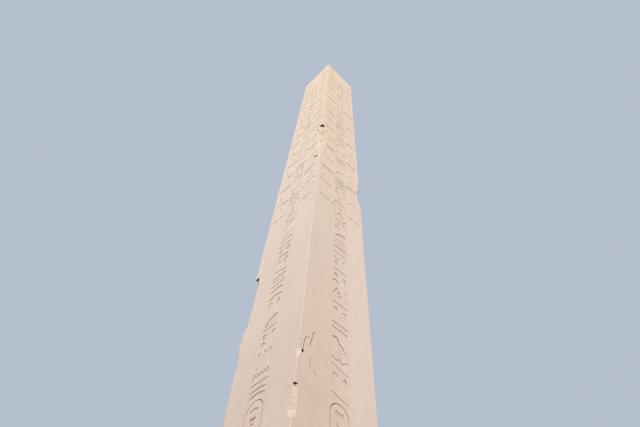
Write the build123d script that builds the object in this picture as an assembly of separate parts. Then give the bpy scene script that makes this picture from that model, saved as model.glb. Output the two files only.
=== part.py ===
"""Granite obelisk: one tapering monolith on a pedestal block and a footing course.

Units are millimetres and +Z is up. The origin is the centre of the underside, where the
footing meets the ground. The four faces look along +X, -X, +Y and -Y. Each stone that is a
piece of its own is written as one STEP file.
"""
import os
from dataclasses import dataclass
from math import sqrt

from build123d import *

# Monolith: shaft and pyramidion are one stone
FOOT_SIDE = 2400.0
NECK_SIDE = 1770.0
SHAFT_HEIGHT = 26610.0
CAP_HEIGHT = 2950.0
TIP_SIDE = 70.0

# Pedestal block
PEDESTAL_SIDE = 3150.0
PEDESTAL_HEIGHT = 1450.0
PEDESTAL_BATTER = 30.0
PEDESTAL_ARRIS = 35.0
GROOVE_WIDTH = 170.0
GROOVE_DEPTH = 90.0
GROOVE_ROUND = 50.0

# Footing course
FOOTING_PROJECTION = 340.0
FOOTING_HEIGHT = 350.0
RING_DEPTH = 820.0
SIDE_STONE_SHARES = (0.30, 0.38, 0.32)
CORE_STONES = 3
STONE_ARRIS = 22.0

PEDESTAL_TOP_SIDE = PEDESTAL_SIDE - 2 * PEDESTAL_BATTER
PEDESTAL_BASE = FOOTING_HEIGHT
SHAFT_BASE = FOOTING_HEIGHT + PEDESTAL_HEIGHT
FOOTING_SIDE = PEDESTAL_SIDE + 2 * FOOTING_PROJECTION

# A cutter reaches this far past the faces it cuts
CLEAR = 400.0


@dataclass(frozen=True)
class Level:
    """One level of a broken arris.

    height is above the shaft's foot, depth is measured in from the arris on the diagonal, and
    turn swings the broken face out of the 45 degree line, in degrees.
    """
    height: float
    depth: float
    turn: float = 0.0


@dataclass(frozen=True)
class BrokenArris:
    """A stretch of one arris that has spalled away, from its top level to its bottom level."""
    side_x: int
    side_y: int
    levels: tuple


# The spalls on the three arrises that show, from the upper lip down to where they fade or step in
BROKEN_ARRISES = (
    BrokenArris(-1, -1, (
        Level(10270, 106), Level(10080, 120), Level(9900, 144, 4), Level(9600, 126),
        Level(9160, 152, -5), Level(8940, 154, -5), Level(8830, 120), Level(8380, 114, 4),
        Level(8270, 34), Level(8020, 42), Level(7880, 32), Level(7690, 40),
        Level(7480, 86, 5), Level(7280, 114), Level(7000, 84), Level(6500, 108, -4),
        Level(5950, 124), Level(5500, 150, 5), Level(4900, 96), Level(4500, -6),
    )),
    BrokenArris(1, -1, (
        Level(18040, 114, 1), Level(17780, 94, 3), Level(17260, 142, 8), Level(16700, 160, 8),
        Level(16100, 114, 11), Level(15700, 84, 12), Level(15400, 62, 8), Level(15180, 20),
        Level(14950, -6),
    )),
    BrokenArris(1, -1, (
        Level(6900, -6), Level(6560, 36, 16), Level(6460, 36, 14), Level(6390, 22), Level(6180, -6),
    )),
    BrokenArris(1, -1, (
        Level(5720, 36, 10), Level(5530, 44, 8), Level(5330, 60), Level(5200, 72, -7),
        Level(5050, 66, -1), Level(5010, -6),
    )),
    BrokenArris(1, 1, (
        Level(15640, 34), Level(15380, 42, 4), Level(15120, 56),
    )),
    BrokenArris(1, 1, (
        Level(15120, 84), Level(14860, 78, 4), Level(14600, 90, -4), Level(14440, 82),
        Level(14370, 56), Level(14250, 44), Level(14180, -6),
    )),
)


def half_side(height: float) -> float:
    """Half the shaft's side at a height above its foot."""
    return (FOOT_SIDE - (FOOT_SIDE - NECK_SIDE) * height / SHAFT_HEIGHT) / 2


def crossed_prisms(outline: Polyline, reach: float) -> Part:
    """What two prisms of one elevation share where they cross at right angles: a square taper."""
    across_x = extrude(Plane.XZ * make_face(outline), amount=reach, both=True)
    across_y = extrude(Plane.YZ * make_face(outline), amount=reach, both=True)
    return across_x & across_y


def sharp_monolith() -> Part:
    """The stone as it was dressed, with four whole arrises."""
    outline = Polyline(
        (-FOOT_SIDE / 2, 0), (FOOT_SIDE / 2, 0), (NECK_SIDE / 2, SHAFT_HEIGHT),
        (TIP_SIDE / 2, SHAFT_HEIGHT + CAP_HEIGHT), (-TIP_SIDE / 2, SHAFT_HEIGHT + CAP_HEIGHT),
        (-NECK_SIDE / 2, SHAFT_HEIGHT), close=True)
    return crossed_prisms(outline, FOOT_SIDE / 2)


def arris_cutter(spall: BrokenArris) -> Part:
    """The stone that has gone from one arris, as triangles lofted from level to level."""
    sections = []
    for level in spall.levels:
        half = half_side(level.height)
        corner = Location((spall.side_x * half, spall.side_y * half, level.height))
        outward = Vector(spall.side_x, spall.side_y, 0).normalized().rotate(Axis.Z, level.turn)
        along = outward.rotate(Axis.Z, 90)
        middle = outward * -level.depth
        points = (middle + along * CLEAR, middle - along * CLEAR, middle + outward * CLEAR)
        sections.append(corner * make_face(Polyline(*points, close=True)))
    return loft(sections, ruled=True)


def monolith() -> Part:
    """Shaft and pyramidion, with the spalled stretches taken out of the arrises."""
    stone = sharp_monolith()
    for spall in BROKEN_ARRISES:
        stone -= arris_cutter(spall)
    return Pos(0, 0, SHAFT_BASE) * stone


def pedestal() -> Part:
    """The block under the shaft, with the groove that its edge was lowered into."""
    foot, top, worn = PEDESTAL_SIDE / 2, PEDESTAL_TOP_SIDE / 2, PEDESTAL_ARRIS / 2
    faces = Polyline(
        (-foot, 0), (foot, 0), (top, PEDESTAL_HEIGHT - worn), (top - worn, PEDESTAL_HEIGHT),
        (worn - top, PEDESTAL_HEIGHT), (-top, PEDESTAL_HEIGHT - worn), close=True)
    foot_corner, top_corner = (half * sqrt(2) - PEDESTAL_ARRIS / sqrt(2) for half in (foot, top))
    corners = Polyline(
        (-foot_corner, 0), (foot_corner, 0), (top_corner, PEDESTAL_HEIGHT),
        (-top_corner, PEDESTAL_HEIGHT), close=True)
    block = crossed_prisms(faces, foot) & Rot(0, 0, 45) * crossed_prisms(corners, foot_corner)
    groove = Plane.YZ * (Pos(FOOT_SIDE / 2, PEDESTAL_HEIGHT) * Rectangle(GROOVE_WIDTH, 2 * GROOVE_DEPTH))
    channel = extrude(groove, amount=PEDESTAL_SIDE / 2, both=True)
    channel = fillet(channel.edges().filter_by(Axis.X).group_by(Axis.Z)[0], GROOVE_ROUND)
    return Pos(0, 0, PEDESTAL_BASE) * (block - channel)


def footing_stone(length: float, width: float, x: float, y: float) -> Part:
    """One stone of the footing course, with its top and upright edges worn."""
    stone = Pos(x, y, FOOTING_HEIGHT / 2) * Box(length, width, FOOTING_HEIGHT)
    worn = stone.edges().group_by(Axis.Z)[-1] + stone.edges().filter_by(Axis.Z)
    return chamfer(worn, STONE_ARRIS)


def footing() -> dict:
    """The footing course: corner stones, side stones between them and core stones."""
    stones = {}
    middle = FOOTING_SIDE / 2 - RING_DEPTH / 2
    side_run = FOOTING_SIDE - 2 * RING_DEPTH
    for index, (x, y) in enumerate(((1, -1), (1, 1), (-1, 1), (-1, -1)), start=1):
        stones[f"footing_corner_{index}"] = footing_stone(
            RING_DEPTH, RING_DEPTH, x * middle, y * middle)
    start = -side_run / 2
    for number, share in enumerate(SIDE_STONE_SHARES, start=1):
        length = side_run * share
        place = start + length / 2
        start += length
        stones[f"footing_front_{number}"] = footing_stone(length, RING_DEPTH, place, -middle)
        stones[f"footing_back_{number}"] = footing_stone(length, RING_DEPTH, place, middle)
        stones[f"footing_left_{number}"] = footing_stone(RING_DEPTH, length, -middle, place)
        stones[f"footing_right_{number}"] = footing_stone(RING_DEPTH, length, middle, place)
    width = side_run / CORE_STONES
    for index in range(CORE_STONES):
        place = (index + 0.5) * width - side_run / 2
        stones[f"footing_core_{index + 1}"] = Pos(0, place, FOOTING_HEIGHT / 2) * Box(
            side_run, width, FOOTING_HEIGHT)
    return stones


def main() -> None:
    """Build every stone and write it as parts/NODE.step."""
    os.makedirs("parts", exist_ok=True)
    nodes = {"monolith": monolith(), "pedestal": pedestal(), **footing()}
    for name, part in nodes.items():
        print(f"{name}: {part.volume / 1e9:.3f} m3")
        export_step(part, f"parts/{name}.step")


if __name__ == "__main__":
    main()
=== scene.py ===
"""Looks of a granite obelisk: the carved and weathered monolith, its pedestal and its footing."""
import logging
import math
import random
from dataclasses import dataclass, field, replace
from enum import Enum

import bpy
from mathutils import Matrix, Vector, noise
from mathutils.bvhtree import BVHTree
from mathutils.geometry import delaunay_2d_cdt


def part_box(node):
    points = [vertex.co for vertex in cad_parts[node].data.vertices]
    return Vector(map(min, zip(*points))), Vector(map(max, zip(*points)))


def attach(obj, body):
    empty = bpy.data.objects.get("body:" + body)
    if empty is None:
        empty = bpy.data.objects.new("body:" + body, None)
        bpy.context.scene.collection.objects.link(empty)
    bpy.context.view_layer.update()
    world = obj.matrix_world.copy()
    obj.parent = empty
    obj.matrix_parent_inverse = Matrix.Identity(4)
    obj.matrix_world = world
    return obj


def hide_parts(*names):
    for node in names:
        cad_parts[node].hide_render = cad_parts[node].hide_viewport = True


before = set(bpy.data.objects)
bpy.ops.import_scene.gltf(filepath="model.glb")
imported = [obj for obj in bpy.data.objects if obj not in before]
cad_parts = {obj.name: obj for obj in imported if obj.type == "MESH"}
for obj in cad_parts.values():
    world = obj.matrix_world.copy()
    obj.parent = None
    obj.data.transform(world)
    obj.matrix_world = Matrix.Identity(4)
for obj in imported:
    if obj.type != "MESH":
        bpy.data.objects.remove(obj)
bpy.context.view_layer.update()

# Heights closer than this are one level
SAME = 0.001
# A step shorter than this has no direction
SHORTEST = 1e-6
# The least cosine that a corner's mitre is worked out with, so that no spike runs far
STROKE_MITRE = 0.5
INSET_MITRE = 0.6
# A floor rises to its crown over this share of the way to its middle, and at most over this run
CROWN_SHARE = 0.75
CROWN_RUN = 0.035
# The power by which a crowned floor's rim rises from its upper edge to its lower one
RIM_POWER = 0.8
# The output type of a triangulation that keeps only what the given edges enclose
ENCLOSED = 1
LOG = logging.getLogger("obelisk")

Point = tuple[float, float]
Pair = tuple[float, float]
Outline = list[Point]
Colour = tuple[float, float, float]
Socket = bpy.types.NodeSocket


def arc(centre: Point, radii: Point, start: float, end: float, steps: int) -> Outline:
    """Points along an elliptical arc.

    Args:
        centre: Centre of the ellipse.
        radii: Half its width and half its height.
        start: First angle in degrees, counted from +X.
        end: Last angle in degrees.
        steps: How many chords the arc is made of.

    Returns:
        The points from start to end, both included.
    """
    angles = [math.radians(start + (end - start) * step / steps) for step in range(steps + 1)]
    return [(centre[0] + radii[0] * math.cos(a), centre[1] + radii[1] * math.sin(a)) for a in angles]


def ellipse(centre: Point, radii: Point, steps: int = 18) -> Outline:
    """A closed ellipse as an outline.

    Args:
        centre: Centre of the ellipse.
        radii: Half its width and half its height.
        steps: How many sides it has.

    Returns:
        Its points, each given once.
    """
    return arc(centre, radii, 0, 360, steps)[:-1]


def rectangle(left: float, bottom: float, right: float, top: float) -> Outline:
    """The four corners of an upright rectangle.

    Args:
        left: Its left edge.
        bottom: Its lower edge.
        right: Its right edge.
        top: Its upper edge.

    Returns:
        The corners, anticlockwise.
    """
    return [(left, bottom), (right, bottom), (right, top), (left, top)]


def stroke(path: Outline, width: float, end_width: float | None = None) -> Outline:
    """The outline of a band along an open path, with mitred corners.

    Args:
        path: The points that the middle of the band runs through.
        width: The band's width at its first point.
        end_width: Its width at the last point, the same as width if left out.

    Returns:
        The band's outline.
    """
    end_width = width if end_width is None else end_width
    points = [Vector(p) for p in path]
    left, right = [], []
    for index, point in enumerate(points):
        before = (point - points[index - 1]).normalized() if index else None
        after = (points[index + 1] - point).normalized() if index + 1 < len(points) else None
        along = ((before or after) + (after or before)).normalized()
        lean = max(STROKE_MITRE, along.dot(after or before))
        share = index / (len(points) - 1)
        half = (width + (end_width - width) * share) / 2 / lean
        across = Vector((-along.y, along.x)) * half
        left.append(tuple(point + across))
        right.append(tuple(point - across))
    return left + right[::-1]


def signed_area(outline: Outline) -> float:
    """Area of an outline, positive when it runs anticlockwise.

    Args:
        outline: The outline's points.

    Returns:
        Its signed area.
    """
    following = outline[1:] + outline[:1]
    return sum(a[0] * b[1] - b[0] * a[1] for a, b in zip(outline, following)) / 2


def new_object(name: str, data: bpy.types.ID) -> bpy.types.Object:
    """Add an object to the scene.

    Args:
        name: The object's name.
        data: Its mesh, light or camera.

    Returns:
        The object.
    """
    added = bpy.data.objects.new(name, data)
    bpy.context.scene.collection.objects.link(added)
    return added


class Side(Enum):
    """The four faces of the stone, by the angle of the way they look, in degrees from +X."""
    FRONT = -90
    RIGHT = 0
    BACK = 90
    LEFT = 180

    def outward(self) -> Vector:
        """Unit vector out of the face."""
        angle = math.radians(self.value)
        return Vector((round(math.cos(angle)), round(math.sin(angle)), 0))

    def across(self) -> Vector:
        """Unit vector to the right, for someone who looks at the face."""
        return Vector((0, 0, 1)).cross(self.outward())


class Surface(Enum):
    """The kinds of surface on the monolith, by material slot."""
    DRESSED = 0
    CARVED = 1
    BROKEN = 2
    FRESH = 3
    # Painted shade: near-black stone under lips, on facets that face down and in pits
    SHELTERED = 4
    # Wear on rounded arrises, with painted light: dimmed against the light the rounding catches, and paler
    # low down
    WORN = 5
    # Dark brown dirt in grooves, made darker still as painted shade
    SOILED = 6


@dataclass(frozen=True)
class Move:
    """How a point of a ring moves where it lies on a floor: in its plane, and up from the floor."""
    inward: Vector = field(default_factory=lambda: Vector((0, 0)))
    rise: float = 0.0


def inset(outline: Outline, distance: float) -> list[Vector]:
    """How far each point of an anticlockwise outline moves when its sides move in.

    Args:
        outline: The outline.
        distance: How far its sides move.

    Returns:
        One move for each point.
    """
    count = len(outline)
    moves = []
    for index in range(count):
        point = Vector(outline[index])
        before = (point - Vector(outline[index - 1])).normalized()
        after = (Vector(outline[(index + 1) % count]) - point).normalized()
        normal = Vector((-before.y - after.y, before.x + after.x))
        if normal.length < SHORTEST:
            moves.append(Vector((0, 0)))
            continue
        normal.normalize()
        lean = max(INSET_MITRE, normal.dot(Vector((-before.y, before.x))))
        moves.append(normal * distance / lean)
    return moves


def rim_share(inward: Vector) -> float:
    """How much of its crown a floor already has at a place along its edge.

    Args:
        inward: The way from the edge into the cut.

    Returns:
        Nothing at the upper edge, about half at the sides and all of it at the lower edge.
    """
    if inward.length == 0:
        return 0.0
    rise = inward.normalized().y
    return (1 + rise) ** RIM_POWER / 2 ** RIM_POWER


@dataclass(frozen=True)
class Cut:
    """One area that is sunk into a face, in face coordinates: across, and up from the foot.

    A cut of no depth is an island that stays at the level of the face. crown is the share of the
    depth by which the floor rises towards the middle. A crowned floor is deepest along its upper
    edge, as the carvers left it.
    """
    outline: tuple[Point, ...]
    depth: float
    slope: float = 0.0
    surface: Surface = Surface.CARVED
    crown: float = 0.0

    def rings(self) -> list[tuple[list[Vector], list[Move]]]:
        """The rings of points that it needs: its outline, and a crown inside it where it has one.

        Returns:
            Each ring's points in order, with their moves.
        """
        outline = list(self.outline)
        area = signed_area(outline)
        if area < 0:
            outline.reverse()
        points = [Vector(p) for p in outline]
        steps = inset(outline, self.slope)
        if not self.crown or not self.depth:
            return [(points, [Move(step) for step in steps])]
        top = self.depth * self.crown
        rim = [Move(step, top * rim_share(step)) for step in steps]
        edge = sum((a - b).length for a, b in zip(points, points[1:] + points[:1]))
        run = min(CROWN_RUN, abs(area) / edge * CROWN_SHARE)
        inside = [point + step for point, step in zip(points, inset(outline, run))]
        return [(points, rim), (inside, [Move(rise=top)] * len(inside))]

    def holds(self, point: Vector) -> bool:
        """Whether its outline runs round a point.

        Args:
            point: The point, in face coordinates.

        Returns:
            True where the outline's winding number isn't zero.
        """
        turns = 0
        for (x0, y0), (x1, y1) in zip(self.outline, self.outline[1:] + self.outline[:1]):
            if (y0 <= point.y) != (y1 <= point.y):
                crossing = x0 + (point.y - y0) / (y1 - y0) * (x1 - x0)
                if crossing > point.x:
                    turns += 1 if y1 > y0 else -1
        return turns != 0


class Motif(Enum):
    """The ornament that fills the carved columns: plain traditional shapes, and no writing."""
    BAR = "bar"
    ZIGZAG = "zigzag"
    BASKET = "basket"
    LENS = "lens"
    SNAKE = "snake"
    SLANT = "slant"
    HILLS = "hills"
    DISC = "disc"
    RING = "ring"
    LOAF = "loaf"
    BLOCK = "block"
    CRESCENT = "crescent"
    PEAK = "peak"
    LEAF = "leaf"
    CROOK = "crook"
    FEATHER = "feather"
    VASE = "vase"
    BIRD = "bird"
    STEPS = "steps"
    PILLAR = "pillar"
    SICKLE = "sickle"
    SAIL = "sail"
    FRAME = "frame"


class Kind(Enum):
    """The motifs that suit each kind of cell, some of them more often than others."""
    FLAT = (Motif.BAR, Motif.BAR, Motif.BAR, Motif.LENS, Motif.LENS, Motif.BASKET, Motif.BASKET,
            Motif.SLANT, Motif.SLANT, Motif.SLANT, Motif.SNAKE, Motif.ZIGZAG, Motif.HILLS)
    SMALL = (Motif.DISC, Motif.RING, Motif.LOAF, Motif.BLOCK, Motif.CRESCENT, Motif.PEAK)
    TALL = (Motif.LEAF, Motif.CROOK, Motif.FEATHER, Motif.VASE, Motif.PILLAR)
    WIDE = (Motif.BIRD, Motif.SICKLE, Motif.SICKLE, Motif.SAIL, Motif.SAIL, Motif.STEPS)
    FRAME = (Motif.FRAME,)


@dataclass(frozen=True)
class Shape:
    """An outline in a motif, centred on the motif's middle, and whether it stands up as an island."""
    outline: Outline
    island: bool = False

    def moved(self, middle: Point) -> tuple[Point, ...]:
        """Its outline where the motif's middle is at a place."""
        return tuple((x + middle[0], y + middle[1]) for x, y in self.outline)


@dataclass(frozen=True)
class Chisel:
    """Draws motifs that fill a cell of a width and a height in metres, centred on the origin.

    The numbers in an outline are shares of the cell, or of a size that is worked out from it.
    """
    width: float
    height: float

    def draw(self, motif: Motif) -> list[Shape]:
        """The shapes of one motif."""
        return getattr(self, motif.value)()

    def at(self, across: float, up: float) -> Point:
        """A point of the cell, in shares of its width and height."""
        return across * self.width, up * self.height

    def bar(self) -> list[Shape]:
        """A level bar with square ends."""
        half = min(self.height, self.width * 0.2) * 0.21
        return [Shape(rectangle(-self.width / 2, -half, self.width / 2, half))]

    def zigzag(self) -> list[Shape]:
        """A rippled band of five waves.

        Returns:
            Its one shape.
        """
        waves = 5
        rise = min(self.height, self.width * 0.3) * 0.32
        step = self.width * 0.94 / (2 * waves)
        path = [(-self.width * 0.47 + step * turn, rise if turn % 2 else -rise)
                for turn in range(2 * waves + 1)]
        return [Shape(stroke(path, rise * 0.95))]

    def basket(self) -> list[Shape]:
        """A shallow bowl."""
        depth = min(self.height, self.width * 0.34)
        return [Shape(arc((0, depth / 2), (self.width * 0.48, depth), 180, 360, 12))]

    def lens(self) -> list[Shape]:
        """A pointed oval lying on its side.

        Returns:
            Its one shape.
        """
        rise = min(self.height / 2, self.width * 0.16)
        steps = 10
        shares = [step / steps for step in range(-steps, steps + 1, 2)]
        upper = [(self.width * 0.48 * share, rise * (1 - share * share)) for share in shares]
        return [Shape(upper + [(x, -y) for x, y in upper[-2:0:-1]])]

    def snake(self) -> list[Shape]:
        """A low winding line with a raised head.

        Returns:
            Its one shape.
        """
        rise = min(self.height, self.width * 0.32) / 2
        steps = 14
        path = [(-self.width * 0.46 + self.width * 0.84 * step / steps,
                 -rise * 0.45 + rise * 0.35 * math.sin(step * 1.1)) for step in range(steps + 1)]
        path += [(self.width * 0.42, rise * 0.3), (self.width * 0.47, rise * 0.75)]
        return [Shape(stroke(path, rise * 0.35, rise * 0.6))]

    def slant(self) -> list[Shape]:
        """A leaning bar.

        Returns:
            Its one shape.
        """
        rise = min(self.height, self.width * 0.45) / 2
        path = [(-self.width * 0.45, rise * 0.8), (self.width * 0.45, -rise * 0.8)]
        return [Shape(stroke(path, rise * 0.38))]

    def hills(self) -> list[Shape]:
        """Three rounded hills on one base.

        Returns:
            Its one shape.
        """
        rise = min(self.height, self.width * 0.36)
        outline = [(-self.width * 0.48, -rise / 2)]
        for hill in (-1, 0, 1):
            middle = (hill * self.width * 0.31, -rise * 0.25)
            outline += arc(middle, (self.width * 0.14, rise * 0.72), 180, 0, 6)
        return [Shape(outline + [(self.width * 0.48, -rise / 2)])]

    def disc(self) -> list[Shape]:
        """A plain disc."""
        radius = min(self.width, self.height) * 0.4
        return [Shape(ellipse((0, 0), (radius, radius), 16))]

    def ring(self) -> list[Shape]:
        """A disc with a raised middle.

        Returns:
            Its shapes, the raised one last.
        """
        radius = min(self.width, self.height) * 0.44
        return [Shape(ellipse((0, 0), (radius, radius), 18)),
                Shape(ellipse((0, 0), (radius * 0.5, radius * 0.5), 12), island=True)]

    def loaf(self) -> list[Shape]:
        """A half round with its flat side down."""
        radius = min(self.width / 2, self.height) * 0.84
        return [Shape(arc((0, -radius * 0.45), (radius, radius), 180, 0, 10))]

    def block(self) -> list[Shape]:
        """A square with a raised square in it.

        Returns:
            Its shapes, the raised one last.
        """
        half = min(self.width, self.height) * 0.4
        inner = half * 0.45
        return [Shape(rectangle(-half, -half, half, half)),
                Shape(rectangle(-inner, -inner, inner, inner), island=True)]

    def crescent(self) -> list[Shape]:
        """A new moon that opens upwards.

        Returns:
            Its one shape.
        """
        radius = min(self.width / 2, self.height) * 0.85
        outer = arc((0, radius * 0.35), (radius, radius), 180, 360, 12)
        inner = arc((0, radius * 0.35), (radius * 0.82, radius * 0.5), 340, 200, 8)
        return [Shape(outer + inner)]

    def peak(self) -> list[Shape]:
        """A narrow triangle.

        Returns:
            Its one shape.
        """
        half = min(self.width * 0.4, self.height * 0.3)
        foot = -self.height * 0.42
        return [Shape([(-half, foot), (half, foot), (0, self.height * 0.44)])]

    def leaf(self) -> list[Shape]:
        """An upright leaf on a short stem.

        Returns:
            Its one shape.
        """
        half = min(self.width * 0.32, self.height * 0.2)
        blade_foot = -self.height * 0.3
        right = [(half * 0.7, blade_foot), (half, -self.height * 0.05), (half * 0.9, self.height * 0.25)]
        tip = [(half * 0.2, self.height * 0.47), (-half * 0.6, self.height * 0.33)]
        left = [(-half, self.height * 0.1), (-half * 0.6, blade_foot), (-half * 0.25, blade_foot)]
        stem = [(-half * 0.25, -self.height * 0.47), (half * 0.25, -self.height * 0.47),
                (half * 0.25, blade_foot)]
        return [Shape(stem + right + tip + left)]

    def crook(self) -> list[Shape]:
        """A staff with a bent top.

        Returns:
            Its one shape.
        """
        reach = min(self.width * 0.3, self.height * 0.2)
        path = [(-reach * 0.5, -self.height * 0.46), (-reach * 0.5, self.height * 0.22)]
        path += arc((reach * 0.25, self.height * 0.26), (reach * 0.75, self.height * 0.17), 170, 0, 7)
        return [Shape(stroke(path, reach * 0.55))]

    def feather(self) -> list[Shape]:
        """A tall plume that leans over at the top.

        Returns:
            Its one shape.
        """
        half = min(self.width * 0.34, self.height * 0.2)
        foot = -self.height * 0.46
        outline = [(-half * 0.4, foot), (half * 0.2, foot), (half * 0.6, 0)]
        outline += arc((half * 0.1, self.height * 0.3), (half * 0.9, self.height * 0.16), -10, 190, 8)
        return [Shape(outline)]

    def vase(self) -> list[Shape]:
        """A jar with a narrow neck and a lip.

        Returns:
            Its one shape.
        """
        half = min(self.width * 0.38, self.height * 0.28)
        profile = [(0.35, -0.46), (0.75, -0.3), (1.0, -0.02), (0.85, 0.18), (0.35, 0.28), (0.35, 0.38),
                   (0.6, 0.46)]
        right = [(x * half, y * self.height) for x, y in profile]
        left = [(-x * half, y * self.height) for x, y in reversed(profile)]
        return [Shape(right + left)]

    def bird(self) -> list[Shape]:
        """A standing bird that looks to the left.

        Returns:
            Its one shape.
        """
        profile = [
            (-0.48, 0.3), (-0.34, 0.4), (-0.2, 0.42), (-0.08, 0.32), (-0.02, 0.14), (0.2, 0.0),
            (0.46, -0.34), (0.4, -0.38), (0.14, -0.22), (0.08, -0.28), (0.08, -0.42), (0.14, -0.46),
            (-0.18, -0.46), (-0.04, -0.4), (-0.04, -0.26), (-0.2, -0.2), (-0.32, -0.02), (-0.33, 0.2)]
        return [Shape([(x * self.width * 0.95, y * self.height) for x, y in profile])]

    def steps(self) -> list[Shape]:
        """A stair that climbs from both sides.

        Returns:
            Its one shape.
        """
        treads = 3
        tread, riser = self.width * 0.46 / treads, self.height * 0.8 / treads
        right = []
        for step in range(treads):
            right += [(self.width * 0.46 - tread * step, -self.height * 0.4 + riser * step),
                      (self.width * 0.46 - tread * step, -self.height * 0.4 + riser * (step + 1))]
        return [Shape(right[:-1] + [(tread * 0.6, self.height * 0.4), (-tread * 0.6, self.height * 0.4)]
                      + [(-x, y) for x, y in reversed(right[:-1])])]

    def pillar(self) -> list[Shape]:
        """A narrow post with a spread foot and a capital.

        Returns:
            Its one shape.
        """
        half = min(self.width * 0.36, self.height * 0.2)
        profile = [(0.8, -0.46), (0.35, -0.38), (0.3, 0.24), (0.85, 0.32), (0.85, 0.46)]
        right = [(x * half, y * self.height) for x, y in profile]
        return [Shape(right + [(-x, y) for x, y in reversed(right)])]

    def sickle(self) -> list[Shape]:
        """A long curved blade that rises to the right.

        Returns:
            Its one shape.
        """
        corner = self.at(0.46, -0.46)
        outer = arc(corner, self.at(0.92, 0.92), 175, 95, 9)
        inner = arc(corner, self.at(0.83, 0.82), 95, 170, 9)
        return [Shape(outer + inner)]

    def sail(self) -> list[Shape]:
        """A tall curved triangle over a level bar.

        Returns:
            Its two shapes.
        """
        corner = self.at(0.4, -0.3)
        curve = arc(corner, self.at(0.78, 0.74), 180, 90, 8)
        bar = rectangle(*self.at(-0.46, -0.48), *self.at(0.46, -0.4))
        return [Shape(curve + [corner]), Shape(bar)]

    def frame(self) -> list[Shape]:
        """A tall ring with round ends on a short foot, for other motifs to stand in.

        Returns:
            Its three shapes, the raised middle second.
        """
        line = 0.044 * self.width
        foot = -self.height / 2 + 1.6 * line
        shapes = []
        for half, island in ((self.width / 2, False), (self.width / 2 - line, True)):
            top = self.height / 2 - self.width / 2
            bottom = foot + self.width / 2
            outline = arc((0, top), (half, half), 0, 180, 14)
            outline += arc((0, bottom), (half, half), 180, 360, 14)
            shapes.append(Shape(outline, island))
        return shapes + [Shape(rectangle(*self.at(-0.4, -0.5), self.width * 0.4, line - self.height / 2))]


@dataclass(frozen=True)
class Cell:
    """The part of a group that one motif fills: its edges as shares of the group, and its kind."""
    left: float
    bottom: float
    right: float
    top: float
    kind: Kind


class Layout(Enum):
    """How motifs form a group: the group's usual height in metres, and the cells in it."""
    ONE_FLAT = (0.16, Cell(0, 0, 1, 1, Kind.FLAT))
    TWO_FLAT = (0.30, Cell(0, 0.54, 1, 1, Kind.FLAT), Cell(0, 0, 1, 0.44, Kind.FLAT))
    THREE_FLAT = (0.42, Cell(0, 0.7, 1, 1, Kind.FLAT), Cell(0, 0.36, 1, 0.62, Kind.FLAT),
                  Cell(0, 0, 1, 0.28, Kind.FLAT))
    FLAT_OVER_TALLS = (0.56, Cell(0, 0.76, 1, 1, Kind.FLAT), Cell(0, 0, 0.42, 0.66, Kind.TALL),
                       Cell(0.56, 0, 1, 0.66, Kind.TALL))
    FLAT_OVER_SMALL = (0.38, Cell(0, 0.62, 1, 1, Kind.FLAT), Cell(0, 0, 0.46, 0.54, Kind.SMALL),
                       Cell(0.54, 0, 1, 0.54, Kind.SMALL))
    WIDE = (0.46, Cell(0, 0, 1, 1, Kind.WIDE))
    TALLS = (0.48, Cell(0, 0, 0.3, 1, Kind.TALL), Cell(0.35, 0, 0.65, 1, Kind.TALL),
             Cell(0.7, 0, 1, 1, Kind.TALL))
    TALL_AND_STACK = (0.44, Cell(0, 0, 0.36, 1, Kind.TALL), Cell(0.44, 0.54, 1, 1, Kind.SMALL),
                      Cell(0.44, 0, 1, 0.46, Kind.SMALL))
    WIDE_AND_TALL = (0.46, Cell(0, 0, 0.62, 1, Kind.WIDE), Cell(0.7, 0, 1, 1, Kind.TALL))
    STACK_AND_TALL = (0.42, Cell(0, 0.56, 0.5, 1, Kind.SMALL), Cell(0, 0, 0.5, 0.44, Kind.SMALL),
                      Cell(0.6, 0, 1, 1, Kind.TALL))
    FRAMED = (1.16, Cell(0, 0, 1, 1, Kind.FRAME), Cell(0.24, 0.74, 0.76, 0.88, Kind.FLAT),
              Cell(0.3, 0.5, 0.7, 0.7, Kind.SMALL), Cell(0.2, 0.2, 0.8, 0.46, Kind.WIDE))

    def __init__(self, height: float, *cells: Cell) -> None:
        """Name the two parts of the value.

        Args:
            height: The group's usual height.
            cells: Its cells.
        """
        self.height = height
        self.cells = cells


# The layouts without a frame, some of them more often than others
OPEN_LAYOUTS = (
    Layout.ONE_FLAT, Layout.ONE_FLAT, Layout.TWO_FLAT, Layout.TWO_FLAT, Layout.THREE_FLAT,
    Layout.THREE_FLAT, Layout.FLAT_OVER_TALLS, Layout.FLAT_OVER_TALLS, Layout.FLAT_OVER_SMALL,
    Layout.WIDE, Layout.WIDE, Layout.TALLS, Layout.TALL_AND_STACK, Layout.WIDE_AND_TALL,
    Layout.STACK_AND_TALL)


@dataclass(frozen=True)
class StoneSizes:
    """The monolith's sizes, in metres, read from the frame."""
    foot_half: float
    neck_half: float
    tip_half: float
    base: float
    shaft_height: float
    height: float

    def half(self, height: float) -> float:
        """Half the stone's width at a height.

        Args:
            height: Height above the foot.

        Returns:
            Half the width there.
        """
        if height <= self.shaft_height:
            return self.foot_half + (self.neck_half - self.foot_half) * height / self.shaft_height
        rise = (height - self.shaft_height) / (self.height - self.shaft_height)
        return self.neck_half + (self.tip_half - self.neck_half) * rise

    def place(self, side: Side, across: float, height: float, depth: float = 0.0) -> Vector:
        """A point on a face or under it.

        Args:
            side: Which face.
            across: Distance to the right of the face's middle.
            height: Height above the foot.
            depth: Level distance in from the face.

        Returns:
            The point in the frame.
        """
        out = side.outward() * (self.half(height) - depth)
        return out + side.across() * across + Vector((0, 0, self.base + height))


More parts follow.
